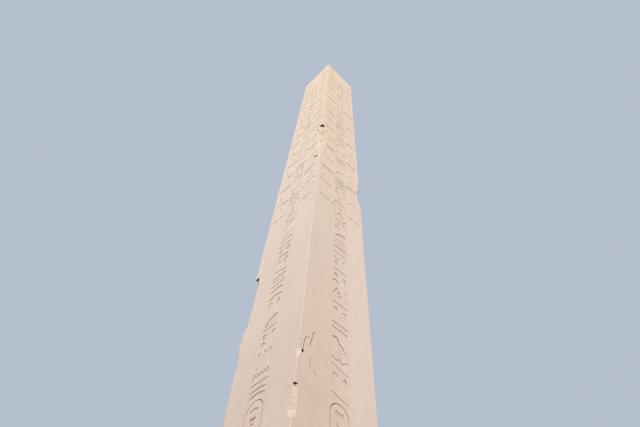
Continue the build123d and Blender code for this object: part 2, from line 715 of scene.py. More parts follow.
@dataclass
class CarvedColumn:
    """The column of motifs down the middle of a face, between two fine border lines.

    Frames stand at given heights, and open groups fill the lengths between them. Each open group
    is taller or lower than its layout says by a share from stretch.
    """
    seed: int
    foot: float = 1.05
    top: float = 24.9
    frame_tops: tuple[float, ...] = (20.6, 13.3, 5.87)
    left: float = -0.24
    right: float = 0.29
    gap: float = 0.06
    depth: float = 0.038
    slope: float = 0.003
    crown: float = 0.85
    border: float = 0.03
    border_width: float = 0.014
    border_depth: float = 0.006
    border_slope: float = 0.0028
    stretch: Pair = (0.9, 1.15)

    def cuts(self) -> list[Cut]:
        """Every motif from the top of the column to its foot, and the border lines.

        Returns:
            The cuts, in face coordinates.
        """
        dice = random.Random(self.seed)
        found = self.borders()
        high = self.top - self.gap
        for frame_top in self.frame_tops:
            found += self.stack(dice, high, frame_top + self.gap)
            found += self.group(dice, Layout.FRAMED, frame_top, Layout.FRAMED.height)
            high = frame_top - Layout.FRAMED.height - self.gap
        return found + self.stack(dice, high, self.foot)

    def stack(self, dice: random.Random, high: float, low: float) -> list[Cut]:
        """Open groups one under the other, spread so that they fill a length.

        Args:
            dice: Source of the choices.
            high: Upper end of the length.
            low: Its lower end.

        Returns:
            The cuts.
        """
        groups = []
        room = high - low
        while True:
            last = groups[-1][0] if groups else None
            layout = dice.choice([one for one in OPEN_LAYOUTS if one is not last])
            height = layout.height * dice.uniform(*self.stretch)
            if room < height:
                break
            groups.append((layout, height))
            room -= height + self.gap
        found = []
        spare = (room + self.gap) / max(1, len(groups) - 1)
        for layout, height in groups:
            found += self.group(dice, layout, high, height)
            high -= height + self.gap + spare
        return found

    def group(self, dice: random.Random, layout: Layout, top: float, height: float) -> list[Cut]:
        """One group of motifs that share the column's width.

        Args:
            dice: Source of the choices.
            layout: How they share it.
            top: The group's upper edge.
            height: Its height.

        Returns:
            The cuts.
        """
        width = self.right - self.left
        found = []
        for cell in layout.cells:
            chisel = Chisel((cell.right - cell.left) * width, (cell.top - cell.bottom) * height)
            middle = (self.left + (cell.left + cell.right) / 2 * width,
                      top - height + (cell.bottom + cell.top) / 2 * height)
            for shape in chisel.draw(dice.choice(cell.kind.value)):
                depth = 0.0 if shape.island else self.depth
                found.append(Cut(shape.moved(middle), depth, self.slope, crown=self.crown))
        return found

    def borders(self) -> list[Cut]:
        """The two fine lines beside the column.

        Returns:
            The cuts.
        """
        found = []
        for across in (self.left - self.border, self.right + self.border):
            line = stroke([(across, self.foot), (across, self.top)], self.border_width)
            found.append(Cut(tuple(line), self.border_depth, self.border_slope))
        return found


class Pose(Enum):
    """What a figure's arms do."""
    OFFERING = 0
    STAFF = 1
    GREETING = 2


@dataclass(frozen=True)
class Figure:
    """A standing figure in profile, of textbook proportions, in shares of its height.

    It looks along +X, with its feet on zero and the top of its head at about one.
    """
    pose: Pose
    tall_crown: bool
    arm: float = 0.036
    staff: float = 0.014

    REAR_LEG = [(-0.075, 0.5), (-0.125, 0.03), (-0.075, 0.03), (0.005, 0.5)]
    REAR_FOOT = [(-0.135, 0), (0.01, 0), (0.0, 0.022), (-0.07, 0.045), (-0.13, 0.045)]
    FORE_LEG = [(0.0, 0.5), (0.075, 0.03), (0.125, 0.03), (0.078, 0.5)]
    FORE_FOOT = [(0.065, 0), (0.215, 0), (0.2, 0.022), (0.13, 0.045), (0.07, 0.045)]
    KILT = [(-0.08, 0.57), (-0.1, 0.33), (0.17, 0.3), (0.07, 0.57)]
    CHEST = [(-0.06, 0.54), (0.065, 0.54), (0.075, 0.66), (0.165, 0.78), (0.14, 0.815),
             (-0.14, 0.815), (-0.165, 0.78), (-0.075, 0.66)]
    NECK = [(-0.03, 0.8), (0.035, 0.8), (0.03, 0.87), (-0.03, 0.87)]
    HEAD = ellipse((0.012, 0.915), (0.05, 0.055), 12)
    FACE = [(0.05, 0.93), (0.072, 0.905), (0.055, 0.895), (0.04, 0.87), (0.02, 0.9)]
    HAIR = [(-0.08, 0.8), (-0.03, 0.8), (-0.015, 0.9), (0.045, 0.95), (0.03, 0.98), (-0.03, 0.985),
            (-0.08, 0.93)]
    BODY = [REAR_LEG, REAR_FOOT, FORE_LEG, FORE_FOOT, KILT, CHEST, NECK, HEAD, FACE, HAIR]
    REAR_PLUME = [(-0.045, 0.97), (-0.05, 1.18), (-0.03, 1.25), (-0.005, 1.18), (-0.005, 0.97)]
    FORE_PLUME = [(0.0, 0.97), (0.0, 1.18), (0.02, 1.25), (0.042, 1.18), (0.035, 0.97)]
    HIGH_CAP = [(-0.06, 0.94), (-0.07, 1.04), (-0.035, 1.13), (0.0, 1.15), (0.02, 1.11),
                (0.03, 1.02), (0.045, 0.95)]
    REAR_SHOULDER = (-0.14, 0.79)
    FORE_SHOULDER = (0.14, 0.79)

    def parts(self) -> list[Outline]:
        """The outlines that together make the figure."""
        crown = [self.REAR_PLUME, self.FORE_PLUME] if self.tall_crown else [self.HIGH_CAP]
        return self.BODY + self.arms() + crown

    def arms(self) -> list[Outline]:
        """The arms and what they hold.

        Returns:
            Their outlines.
        """
        if self.pose is Pose.OFFERING:
            return [stroke([self.FORE_SHOULDER, (0.17, 0.66), (0.3, 0.7)], self.arm),
                    stroke([self.REAR_SHOULDER, (-0.09, 0.64), (0.29, 0.65)], self.arm),
                    ellipse((0.33, 0.735), (0.03, 0.035), 8), ellipse((0.325, 0.665), (0.03, 0.03), 8)]
        if self.pose is Pose.STAFF:
            return [stroke([self.FORE_SHOULDER, (0.19, 0.66), (0.3, 0.66)], self.arm),
                    stroke([(0.31, 0.0), (0.31, 0.86), (0.35, 0.9)], self.staff),
                    stroke([self.REAR_SHOULDER, (-0.17, 0.62), (-0.13, 0.46)], self.arm),
                    ellipse((-0.135, 0.425), (0.02, 0.03), 8)]
        return [stroke([self.FORE_SHOULDER, (0.21, 0.69), (0.3, 0.83)], self.arm),
                stroke([self.REAR_SHOULDER, (-0.02, 0.66), (0.24, 0.72)], self.arm)]


@dataclass(frozen=True)
class Panel:
    """The field of one figure: one side of the column, between two ground lines."""
    hand: int
    ground: float
    top: float
    inner: float
    outer: float

    def cut(self, outline: Outline, depth: float, slope: float, surface: Surface = Surface.CARVED) -> Cut:
        """A cut in the panel.

        Args:
            outline: Its outline, as it is on the right of the column.
            depth: Its depth.
            slope: How far its walls lean in.
            surface: What its floor is like.

        Returns:
            The cut, turned over where the panel is on the left.
        """
        return Cut(tuple((self.hand * x, y) for x, y in outline), depth, slope, surface)


@dataclass
class SceneBands:
    """The upper half of a face: shallow scenes of two figures on each ground line, one each side.

    Panels start at inner, left and right of the column, and end edge_gap before the arris. Every
    ground line has a finer one under it, apart from the lowest, which is a fine one itself. Over
    each figure stand rows of small signs. Their margin, pitch and room are shares of a sign.
    """
    seed: int
    ground_lines: tuple[float, ...] = (12.85, 14.79, 16.59, 18.4, 20.1, 21.75, 23.35, 24.9)
    top_gap: float = 0.1
    inner: Pair = (0.28, 0.325)
    edge_gap: float = 0.15
    line_width: float = 0.022
    lowest_line_width: float = 0.013
    second_line: float = 0.075
    second_line_width: float = 0.009
    line_depth: float = 0.022
    line_lean: float = 0.125
    figure_depth: float = 0.010
    figure_slope: float = 0.002
    figure_share: float = 0.62
    figure_shift: float = 0.1
    foot_over_line: float = 0.0176
    sign_size: float = 0.085
    sign_rows: int = 2
    sign_margin: float = 0.8
    sign_pitch: float = 1.3
    sign_room: float = 1.35

    def cuts(self, sizes: StoneSizes) -> list[Cut]:
        """Ground lines, figures and small signs of every panel.

        Args:
            sizes: The stone's sizes.

        Returns:
            The cuts, in face coordinates.
        """
        dice = random.Random(self.seed)
        found = []
        tops = self.ground_lines[1:] + (sizes.shaft_height - self.top_gap,)
        for ground, top in zip(self.ground_lines, tops):
            for hand, inner in zip((-1, 1), self.inner):
                panel = Panel(hand, ground, top, inner, sizes.half(ground) - self.edge_gap)
                found += self.lines(panel) + self.figure(dice, panel) + self.signs(dice, panel)
        return found

    def lines(self, panel: Panel) -> list[Cut]:
        """The ground line of a panel, with the finer one under it.

        Args:
            panel: The panel.

        Returns:
            The cuts, whose floors and walls are dark with dirt and with painted shade.
        """
        lines = ((0.0, self.line_width), (self.second_line, self.second_line_width))
        if panel.ground == self.ground_lines[0]:
            lines = ((0.0, self.lowest_line_width),)
        found = []
        for under, width in lines:
            middle = panel.ground - under
            line = rectangle(panel.inner, middle - width / 2, panel.outer, middle + width / 2)
            found.append(panel.cut(line, self.line_depth, width * self.line_lean, Surface.SOILED))
        return found

    def figure(self, dice: random.Random, panel: Panel) -> list[Cut]:
        """The figure of a panel, turned towards the column.

        Args:
            dice: Source of the choices.
            panel: The panel.

        Returns:
            The figure's cuts.
        """
        height = (panel.top - panel.ground) * self.figure_share
        pose = Pose.STAFF if panel.hand > 0 else dice.choice((Pose.OFFERING, Pose.GREETING))
        figure = Figure(pose, tall_crown=panel.hand > 0)
        foot = panel.ground + self.foot_over_line
        middle = (panel.inner + panel.outer) / 2 + self.figure_shift * height
        return [panel.cut([(middle - x * height, foot + y * height) for x, y in part],
                          self.figure_depth, self.figure_slope) for part in figure.parts()]

    def signs(self, dice: random.Random, panel: Panel) -> list[Cut]:
        """The rows of small signs over a figure.

        Args:
            dice: Source of the choices.
            panel: The panel.

        Returns:
            The cuts of the signs.
        """
        chisel = Chisel(self.sign_size, self.sign_size)
        found = []
        count = int((panel.outer - panel.inner) / (self.sign_size * self.sign_room))
        for row in range(self.sign_rows):
            for column in range(count):
                motif = dice.choice(Kind.SMALL.value + Kind.FLAT.value)
                across = panel.inner + self.sign_size * (self.sign_margin + self.sign_pitch * column)
                down = self.second_line + self.sign_size * (self.sign_margin + self.sign_pitch * row)
                middle = (panel.hand * across, panel.top - down)
                found += [Cut(shape.moved(middle), self.figure_depth, self.figure_slope)
                          for shape in chisel.draw(motif) if not shape.island]
        return found


@dataclass(frozen=True)
class CapScene:
    """The scene on each face of the pyramid tip: two figures on a ground line, under a disc."""
    ground: float = 0.14
    edge_gap: float = 0.12
    line_under: float = 0.008
    line_width: float = 0.022
    figure_height: float = 0.72
    spread: float = 0.4
    depth: float = 0.010
    slope: float = 0.003
    disc_radius: float = 0.11
    disc_height: float = 1.45
    disc_depth: float = 0.016
    disc_slope: float = 0.004
    disc_sides: int = 20

    def cuts(self, sizes: StoneSizes) -> list[Cut]:
        """The scene's ground line, figures and disc.

        Args:
            sizes: The stone's sizes.

        Returns:
            The cuts, in face coordinates.
        """
        foot = sizes.shaft_height + self.ground
        outer = sizes.half(foot) - self.edge_gap
        line_top = foot - self.line_under
        line = rectangle(-outer, line_top - self.line_width, outer, line_top)
        found = [Cut(tuple(line), self.depth, self.slope)]
        figures = (Figure(Pose.OFFERING, tall_crown=False), Figure(Pose.STAFF, tall_crown=True))
        for hand, figure in zip((-1, 1), figures):
            for part in figure.parts():
                outline = [(hand * (self.spread - x * self.figure_height), foot + y * self.figure_height)
                           for x, y in part]
                found.append(Cut(tuple(outline), self.depth, self.slope))
        disc = ellipse((0, foot + self.disc_height), (self.disc_radius, self.disc_radius), self.disc_sides)
        return found + [Cut(tuple(disc), self.disc_depth, self.disc_slope)]


@dataclass(frozen=True)
class Scar:
    """A pit in a face, with an uneven outline, tilted by so many degrees."""
    side: Side
    across: float
    height: float
    half_width: float
    half_height: float
    tilt: float = 0.0
    depth: float = 0.05
    points: int = 14
    reaches: Pair = (0.72, 1.1)
    slope_share: float = 0.3

    def cut(self, seed: int) -> Cut:
        """The scar as a cut whose floor and walls are painted shade.

        Args:
            seed: Seed of its uneven edge.

        Returns:
            The cut, in face coordinates.
        """
        dice = random.Random(seed)
        turn = math.radians(self.tilt)
        outline = []
        for x, y in ellipse((0, 0), (self.half_width, self.half_height), self.points):
            reach = dice.uniform(*self.reaches)
            outline.append((self.across + reach * (x * math.cos(turn) - y * math.sin(turn)),
                            self.height + reach * (x * math.sin(turn) + y * math.cos(turn))))
        slope = min(self.half_width, self.half_height) * self.slope_share
        # The pit's floor and walls are painted shade
        return Cut(tuple(outline), self.depth, slope, Surface.SHELTERED)


@dataclass(frozen=True)
class Scratch:
    """A thin bent line that was scored into a face."""
    side: Side
    path: tuple[Point, ...]
    width: float = 0.013
    depth: float = 0.022
    lean: float = 0.125

    def cut(self) -> Cut:
        """The scratch as a cut whose floor and walls are dark with dirt and painted shade."""
        outline = tuple(stroke(list(self.path), self.width))
        return Cut(outline, self.depth, self.width * self.lean, Surface.SOILED)


# Pits and scored lines on the two near faces, placed across from the middle and up from the foot
SCARS = (
    Scar(Side.FRONT, 0.79, 17.70, 0.028, 0.085, tilt=10),
    Scar(Side.FRONT, 0.85, 17.46, 0.016, 0.035, depth=0.03),
    Scar(Side.FRONT, 0.865, 15.335, 0.20, 0.044, tilt=-36, depth=0.06),
    Scar(Side.RIGHT, -1.017, 6.52, 0.040, 0.042, depth=0.06),
)
SCRATCHES = (
    Scratch(Side.RIGHT, ((-1.005, 6.56), (-0.995, 6.71), (-0.968, 6.88), (-0.945, 6.93), (-0.86, 6.95))),
    Scratch(Side.RIGHT, ((-0.835, 6.76), (-0.787, 7.0), (-0.766, 7.15), (-0.74, 7.18), (-0.70, 7.16))),
    Scratch(Side.RIGHT, ((-0.795, 6.47), (-0.802, 6.36), (-0.80, 6.24)), width=0.009, depth=0.012),
    Scratch(Side.RIGHT, ((-0.70, 6.24), (-0.665, 6.17), (-0.63, 6.15)), width=0.011, depth=0.012),
)


class SolidStone:
    """The monolith's solid in the frame, for rays and for the levels at which its breaks turn."""

    def __init__(self) -> None:
        """Read the solid's mesh."""
        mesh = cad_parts["monolith"].data
        self.points = [vertex.co.copy() for vertex in mesh.vertices]
        self.tree = BVHTree.FromPolygons(self.points, [list(p.vertices) for p in mesh.polygons])

    def sizes(self) -> StoneSizes:
        """Measure the stone.

        Returns:
            Its sizes.
        """
        low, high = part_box("monolith")
        tip_half = max(abs(p.x) for p in self.points if p.z > high.z - SAME)
        below = [p for p in self.points if p.z < high.z - SAME]
        neck = max(p.z for p in below)
        neck_half = max(abs(p.x) for p in below if p.z > neck - SAME)
        return StoneSizes(high.x, neck_half, tip_half, low.z, neck - low.z, high.z - low.z)

    def break_levels(self, outward: Vector, base: float) -> list[float]:
        """Heights at which the break of one arris turns or steps.

        Args:
            outward: The way the arris points out of the stone.
            base: Height of the stone's foot in the frame.

        Returns:
            The heights above the foot, each once, from the lowest up.
        """
        found: list[float] = []
        quarter = [p for p in self.points if p.x * outward.x > 0 and p.y * outward.y > 0]
        for height in sorted(point.z - base for point in quarter):
            if not found or height - found[-1] > SAME:
                found.append(height)
        return found


@dataclass(frozen=True)
class Row:
    """One level of an arris: how far its wear reaches along the faces on its two sides."""
    height: float
    first_reach: float
    second_reach: float
    broken: bool


@dataclass(frozen=True)
class Chip:
    """A bite out of an arris: where its middle is, half its length and how far it reaches in."""
    height: float
    half_length: float
    reach: float


@dataclass(frozen=True)
class Wear:
    """How the stone's edges have worn, in metres and shares.

    An edge is rounded by rounding up to the lower of high_from, and by high_rounding from the
    upper one on. Each sway and grain setting holds the steps through the noise for each metre,
    arris and side.
    """
    rounding: float = 0.013
    high_rounding: float = 0.030
    high_from: Pair = (15.0, 18.5)
    mean: float = 1.15
    swing: float = 0.9
    sway: tuple[float, float, float] = (3.1, 7.3, 5.7)
    bow: float = 0.12
    widest_share: float = 0.3
    chips: int = 14
    lowest_chip: float = 0.1
    chip_half_lengths: Pair = (0.05, 0.2)
    chip_reaches: Pair = (0.010, 0.03)
    second_side: float = 0.8
    chipped_from: float = 2.0
    broken_from: float = 0.012
    broken_least: float = 0.004
    broken_swing: float = 0.014
    broken_sway: tuple[float, float, float] = (9.0, 3.1, 2.3)
    broken_hollow: float = 0.6
    grain_scale: float = 7.0
    grain_roughness: float = 0.8
    grain_lacunarity: float = 2.1
    grain_octaves: int = 4
    grain_share: float = 0.2
    grain_most: float = 0.022
    fresh_grain_most: float = 0.006

    def usual(self, height: float) -> float:
        """How far an unbroken edge is rounded at a height.

        Args:
            height: Height above the foot.

        Returns:
            The usual reach of the wear along each face.
        """
        low, high = self.high_from
        rise = min(1.0, max(0.0, (height - low) / (high - low)))
        return self.rounding + (self.high_rounding - self.rounding) * rise

    def grain(self, point: Vector) -> float:
        """How rough a broken surface is at a point.

        Args:
            point: The point in the frame.

        Returns:
            The roughness as a share of the surface's width.
        """
        value = noise.fractal(point * self.grain_scale, self.grain_roughness, self.grain_lacunarity,
                              self.grain_octaves)
        return abs(value) * self.grain_share


@dataclass
class Arris:
    """The edge between a face and the next one to its right, worn and broken as the frame shows it.

    The break is probed by rays at two depths under each face, from well outside the stone. Under
    a lip, painted shade darkens the stone over a share of how far the lip stands out, where the
    lip's shadow falls. Below fresh_top the break is fresh.
    """
    side: Side
    next_side: Side
    seed: int
    sizes: StoneSizes
    solid: SolidStone
    fresh_top: float = 0.0
    wear: Wear = Wear()
    strips: int = 9
    pitch: float = 0.085
    clear_of_turns: float = 0.25
    end_gap: float = 0.002
    probe_depths: Pair = (0.002, 0.006)
    probe_from: float = 0.6
    painted_shade_share: float = 0.3
    least_lip: float = 0.02
    overhang: float = -0.8
    rows: list[Row] = field(init=False)
    chips: list[Chip] = field(init=False)
    painted_shade_spans: list[Pair] = field(init=False)

    def __post_init__(self) -> None:
        """Find the chips, and the rows from the foot to the tip."""
        dice = random.Random(self.seed)
        shaft = self.sizes.shaft_height
        wear = self.wear
        self.chips = [Chip(dice.uniform(wear.lowest_chip, shaft), dice.uniform(*wear.chip_half_lengths),
                           dice.uniform(*wear.chip_reaches)) for _ in range(wear.chips)]
        outward = self.side.outward() + self.next_side.outward()
        turns = [level for level in self.solid.break_levels(outward, self.sizes.base)
                 if SAME < level < self.sizes.height - SAME and abs(level - shaft) > SAME]
        self.painted_shade_spans = self.find_painted_shade(turns)
        self.rows = [self.row(level) for level in self.levels(turns)]

    def find_painted_shade(self, turns: list[float]) -> list[Pair]:
        """Where the break steps in under a lip, with painted shade below it.

        Args:
            turns: Heights at which the break turns or steps.

        Returns:
            The lower and upper end of the painted shade under each lip.
        """
        found = []
        for turn in turns:
            lip = max(self.reaches(turn - SAME)) - max(self.reaches(turn + SAME))
            if lip > self.least_lip:
                found.append((turn - lip * self.painted_shade_share, turn))
        return found

    def levels(self, turns: list[float]) -> list[float]:
        """Heights of the rows: at an even pitch, and just under and over each level of the break.

        Args:
            turns: Heights at which the break turns or steps.

        Returns:
            The heights from the foot to the tip, with one at the neck.
        """
        shaft, top = self.sizes.shaft_height, self.sizes.height
        # Rows also start at the foot of each stretch of painted shade
        painted_shade_feet = [low for low, _ in self.painted_shade_spans]
        found = [0.0, shaft, top] + painted_shade_feet
        found += [level + step for level in turns for step in (-SAME, SAME)]
        taken = turns + painted_shade_feet
        room = self.pitch * self.clear_of_turns
        for start, end in ((0.0, shaft), (shaft, top)):
            count = round((end - start) / self.pitch)
            even = [start + (end - start) * step / count for step in range(1, count)]
            found += [level for level in even if all(abs(level - other) > room for other in taken)]
        return sorted(found)

    def probe(self, side: Side, toward: Vector, height: float) -> float:
        """How far the solid's break reaches along one face, from its ideal corner.

        Args:
            side: The face to measure on.
            toward: Unit vector along the face towards the corner.
            height: Height above the foot.

        Returns:
            The reach in metres, zero where the arris is whole.
        """
        half = self.sizes.half(height)
        found = []
        for depth in self.probe_depths:
            start = self.sizes.place(side, 0, height, depth) + toward * (half + self.probe_from)
            _, _, _, distance = self.solid.tree.ray_cast(start, -toward)
            found.append((self.probe_from if distance is None else distance) - self.probe_from)
        near, far = self.probe_depths
        return max(0.0, found[0] + (found[0] - found[1]) * near / (far - near))

    def reaches(self, height: float) -> Pair:
        """How far the break reaches along both faces.

        Args:
            height: Height above the foot.

        Returns:
            The reach on the first face and on the second, in metres.
        """
        safe = min(max(height, self.end_gap), self.sizes.height - self.end_gap)
        return (self.probe(self.side, self.side.across(), safe),
                self.probe(self.next_side, -self.next_side.across(), safe))

    def swaying(self, height: float, steps: tuple[float, float, float]) -> list[float]:
        """Noise at a height.

        Args:
            height: Height above the foot.
            steps: How far it moves through the noise for each metre, arris and side.

        Returns:
            A value for the first side and one for the second.
        """
        return [noise.noise(Vector((height * steps[0], self.seed * steps[1], hand * steps[2])))
                for hand in (0, 1)]

    def row(self, height: float) -> Row:
        """One row, with the stone's wear added to the break.

        Args:
            height: Height above the foot.

        Returns:
            The row.
        """
        first, second = self.reaches(height)
        usual = self.wear.usual(height)
        sway = self.swaying(height, self.wear.sway)
        reaches = [usual * (self.wear.mean + self.wear.swing * value) for value in sway]
        for chip in self.chips:
            share = abs(height - chip.height) / chip.half_length
            if share < 1:
                bite = chip.reach * math.sqrt(1 - share * share)
                reaches = [max(reaches[0], bite), max(reaches[1], bite * self.wear.second_side)]
        broken = max(first, second) > self.wear.broken_from
        if broken:
            reaches = [self.wear.broken_least + self.wear.broken_swing * abs(value)
                       for value in self.swaying(height, self.wear.broken_sway)]
        most = self.sizes.half(height) * self.wear.widest_share
        return Row(height, min(most, first + reaches[0]), min(most, second + reaches[1]),
                   broken or max(reaches) > usual * self.wear.chipped_from)

    def surface(self, row: Row, normal: Vector) -> Surface:
        """What a patch of the worn strip is like.

        Args:
            row: The row it starts from.
            normal: The way it looks.

        Returns:
            Worn where the arris is only rounded, painted shade under an overhang, or else broken.
        """
        if not row.broken:
            return Surface.WORN
        # Painted shade on facets that face down and on the stretch under each lip
        if normal.z < self.overhang or any(low - SAME < row.height < high for low, high in self.painted_shade_spans):
            return Surface.SHELTERED
        return Surface.FRESH if row.height < self.fresh_top else Surface.BROKEN

    def inner_point(self, row: Row, share: float) -> Vector:
        """A point on the worn surface between the two faces.

        Args:
            row: The level.
            share: Zero at the first face, one at the second.

        Returns:
            The point in the frame.
        """
        half = self.sizes.half(row.height)
        start = self.sizes.place(self.side, half - row.first_reach, row.height)
        end = self.sizes.place(self.next_side, -half + row.second_reach, row.height)
        point = start.lerp(end, share)
        inward = -(self.side.outward() + self.next_side.outward()).normalized()
        bow = 4 * share * (1 - share)
        reach = row.first_reach + row.second_reach
        round_out = reach * self.wear.bow
        if not row.broken:
            return point - inward * bow * round_out
        grain = self.wear.grain(point) * reach
        if row.height < self.fresh_top:
            return point + inward * bow * min(grain, self.wear.fresh_grain_most)
        hollow = min(grain, self.wear.grain_most) - round_out * self.wear.broken_hollow
        return point + inward * bow * hollow


class CutFinder:
    """Finds the last cut that a point of a face lies in, by bands of so many metres up the face."""
    BAND = 0.5
    WHOLE = Cut((), 0.0, surface=Surface.DRESSED)

    def __init__(self, cuts: list[Cut]) -> None:
        """Sort the cuts into level bands.

        Args:
            cuts: The cuts of one face, with islands after the areas they stand in.
        """
        self.bands: dict[int, list[tuple[Cut, float, float, float, float]]] = {}
        for cut in cuts:
            across, up = zip(*cut.outline)
            entry = (cut, min(across), max(across), min(up), max(up))
            for band in range(int(min(up) // self.BAND), int(max(up) // self.BAND) + 1):
                self.bands.setdefault(band, []).append(entry)

    def at(self, point: Vector) -> Cut:
        """The last cut round a point.

        Args:
            point: The point, in face coordinates.

        Returns:
            The cut, or WHOLE where the face is whole or an island stands.
        """
        found = self.WHOLE
        for cut, left, right, low, high in self.bands.get(int(point.y // self.BAND), []):
            if left <= point.x <= right and low <= point.y <= high and cut.holds(point):
                found = cut
        return found if found.depth else self.WHOLE


@dataclass(frozen=True)
class Edge:
    """Where a face meets an arris: its rows, and the vertex numbers along the face."""
    rows: list[Row]
    numbers: list[int]


@dataclass(frozen=True)
class Carving:
    """How one face is carved, and how far up the break of the arris on its right is fresh."""
    seed: int
    column_depth: float = 0.038
    figure_depth: float = 0.008
    fresh_top: float = 0.0


CARVINGS = {
    Side.FRONT: Carving(127, column_depth=0.046, figure_depth=0.013, fresh_top=6.95),
    Side.RIGHT: Carving(8),
    Side.BACK: Carving(9),
    Side.LEFT: Carving(17),
}


class LiftedFace:
    """One face in the making: a flat triangulation, lifted to the depths of the face's cuts.

    A point has one vertex for each depth that meets there, and the walls between the depths
    share them, so that nothing stays open.
    """

    def __init__(self, stone: "Monolith", side: Side, flat: tuple, known: list[int],
                 moves: list[Move]) -> None:
        """Keep the part of a triangulation that lies inside the rim.

        Args:
            stone: The stone that gets the vertices and polygons.
            side: Which face.
            flat: The triangulation: points, edges, triangles, then what each came from.
            known: Vertex numbers of the rim, which the arrises already added.
            moves: How each point of a ring moves where it lies on a floor.
        """
        self.stone = stone
        self.side = side
        self.points, _, triangles, self.sources, _, faces = flat
        self.triangles = [triangle for triangle, inside_rim in zip(triangles, faces) if inside_rim]
        self.known = known
        self.moves = moves
        self.numbers: dict[tuple[int, float], int] = {}
        self.borders: dict[tuple[int, int], tuple[float, Surface]] = {}

    def place(self, point: int, depth: float, crown: float) -> Vector:
        """Where a point comes to lie.

        Args:
            point: The point's number.
            depth: Depth of the floor that it lies on, zero on the face itself.
            crown: That floor's crown, for a point that belongs to no ring.

        Returns:
            The place in the frame.
        """
        source = self.sources[point]
        move = Move()
        if depth:
            move = self.moves[source[0]] if source else Move(rise=depth * crown)
        across, height = self.points[point] + move.inward
        return self.stone.sizes.place(self.side, across, height, depth - move.rise)

    def vertex(self, point: int, depth: float, crown: float = 0.0) -> int:
        """Number of the vertex at a point and a depth, added when it is new.

        Args:
            point: The point's number.
            depth: Depth of a floor that meets there.
            crown: That floor's crown.

        Returns:
            The vertex number.
        """
        key = (point, depth)
        if key not in self.numbers:
            source = self.sources[point]
            if not depth and source and source[0] < len(self.known):
                self.numbers[key] = self.known[source[0]]
            else:
                self.numbers[key] = self.stone.add_vertex(self.place(point, depth, crown))
        return self.numbers[key]

    def add_floors(self, finder: CutFinder) -> None:
        """Add each triangle at the depth of the cut that it lies in.

        Args:
            finder: Finds that cut.
        """
        for triangle in self.triangles:
            middle = sum((self.points[point] for point in triangle), Vector((0, 0))) / len(triangle)
            cut = finder.at(middle)
            corners = [self.vertex(point, cut.depth, cut.crown) for point in triangle]
            self.stone.polygons.append((corners, cut.surface))
            for start, end in zip(triangle, triangle[1:] + triangle[:1]):
                self.borders[(start, end)] = (cut.depth, cut.surface)

    def add_walls(self) -> None:
        """Add a wall wherever two depths meet, and where a cut runs out through the rim."""
        rim = {start: end for start, end in self.borders if (end, start) not in self.borders}
        for start, end in rim.items():
            self.borders[(end, start)] = (CutFinder.WHOLE.depth, CutFinder.WHOLE.surface)
        self.note_rim(rim)
        steps: dict[int, list[float]] = {}
        for point, depth in sorted(self.numbers):
            steps.setdefault(point, []).append(depth)
        for (start, end), (depth, _) in self.borders.items():
            deep, surface = self.borders[(end, start)]
            if deep > depth:
                down = [(start, step) for step in steps[start] if depth <= step <= deep]
                up = [(end, step) for step in reversed(steps[end]) if depth <= step <= deep]
                self.stone.polygons.append(([self.numbers[key] for key in down + up], surface))

    def note_rim(self, rim: dict[int, int]) -> None:
        """Tell the stone which vertices cuts add between the rows of an arris.

        Args:
            rim: The next point along the rim, for each point on it.
        """
        numbers = {point: self.vertex(point, 0.0) for point in rim}
        rows = set(self.known)
        for start in rim:
            if numbers[start] not in rows:
                continue
            between: list[int] = []
            point = rim[start]
            while numbers[point] not in rows:
                between.insert(0, numbers[point])
                point = rim[point]
            if between:
                self.stone.rim_vertices[(numbers[point], numbers[start])] = between


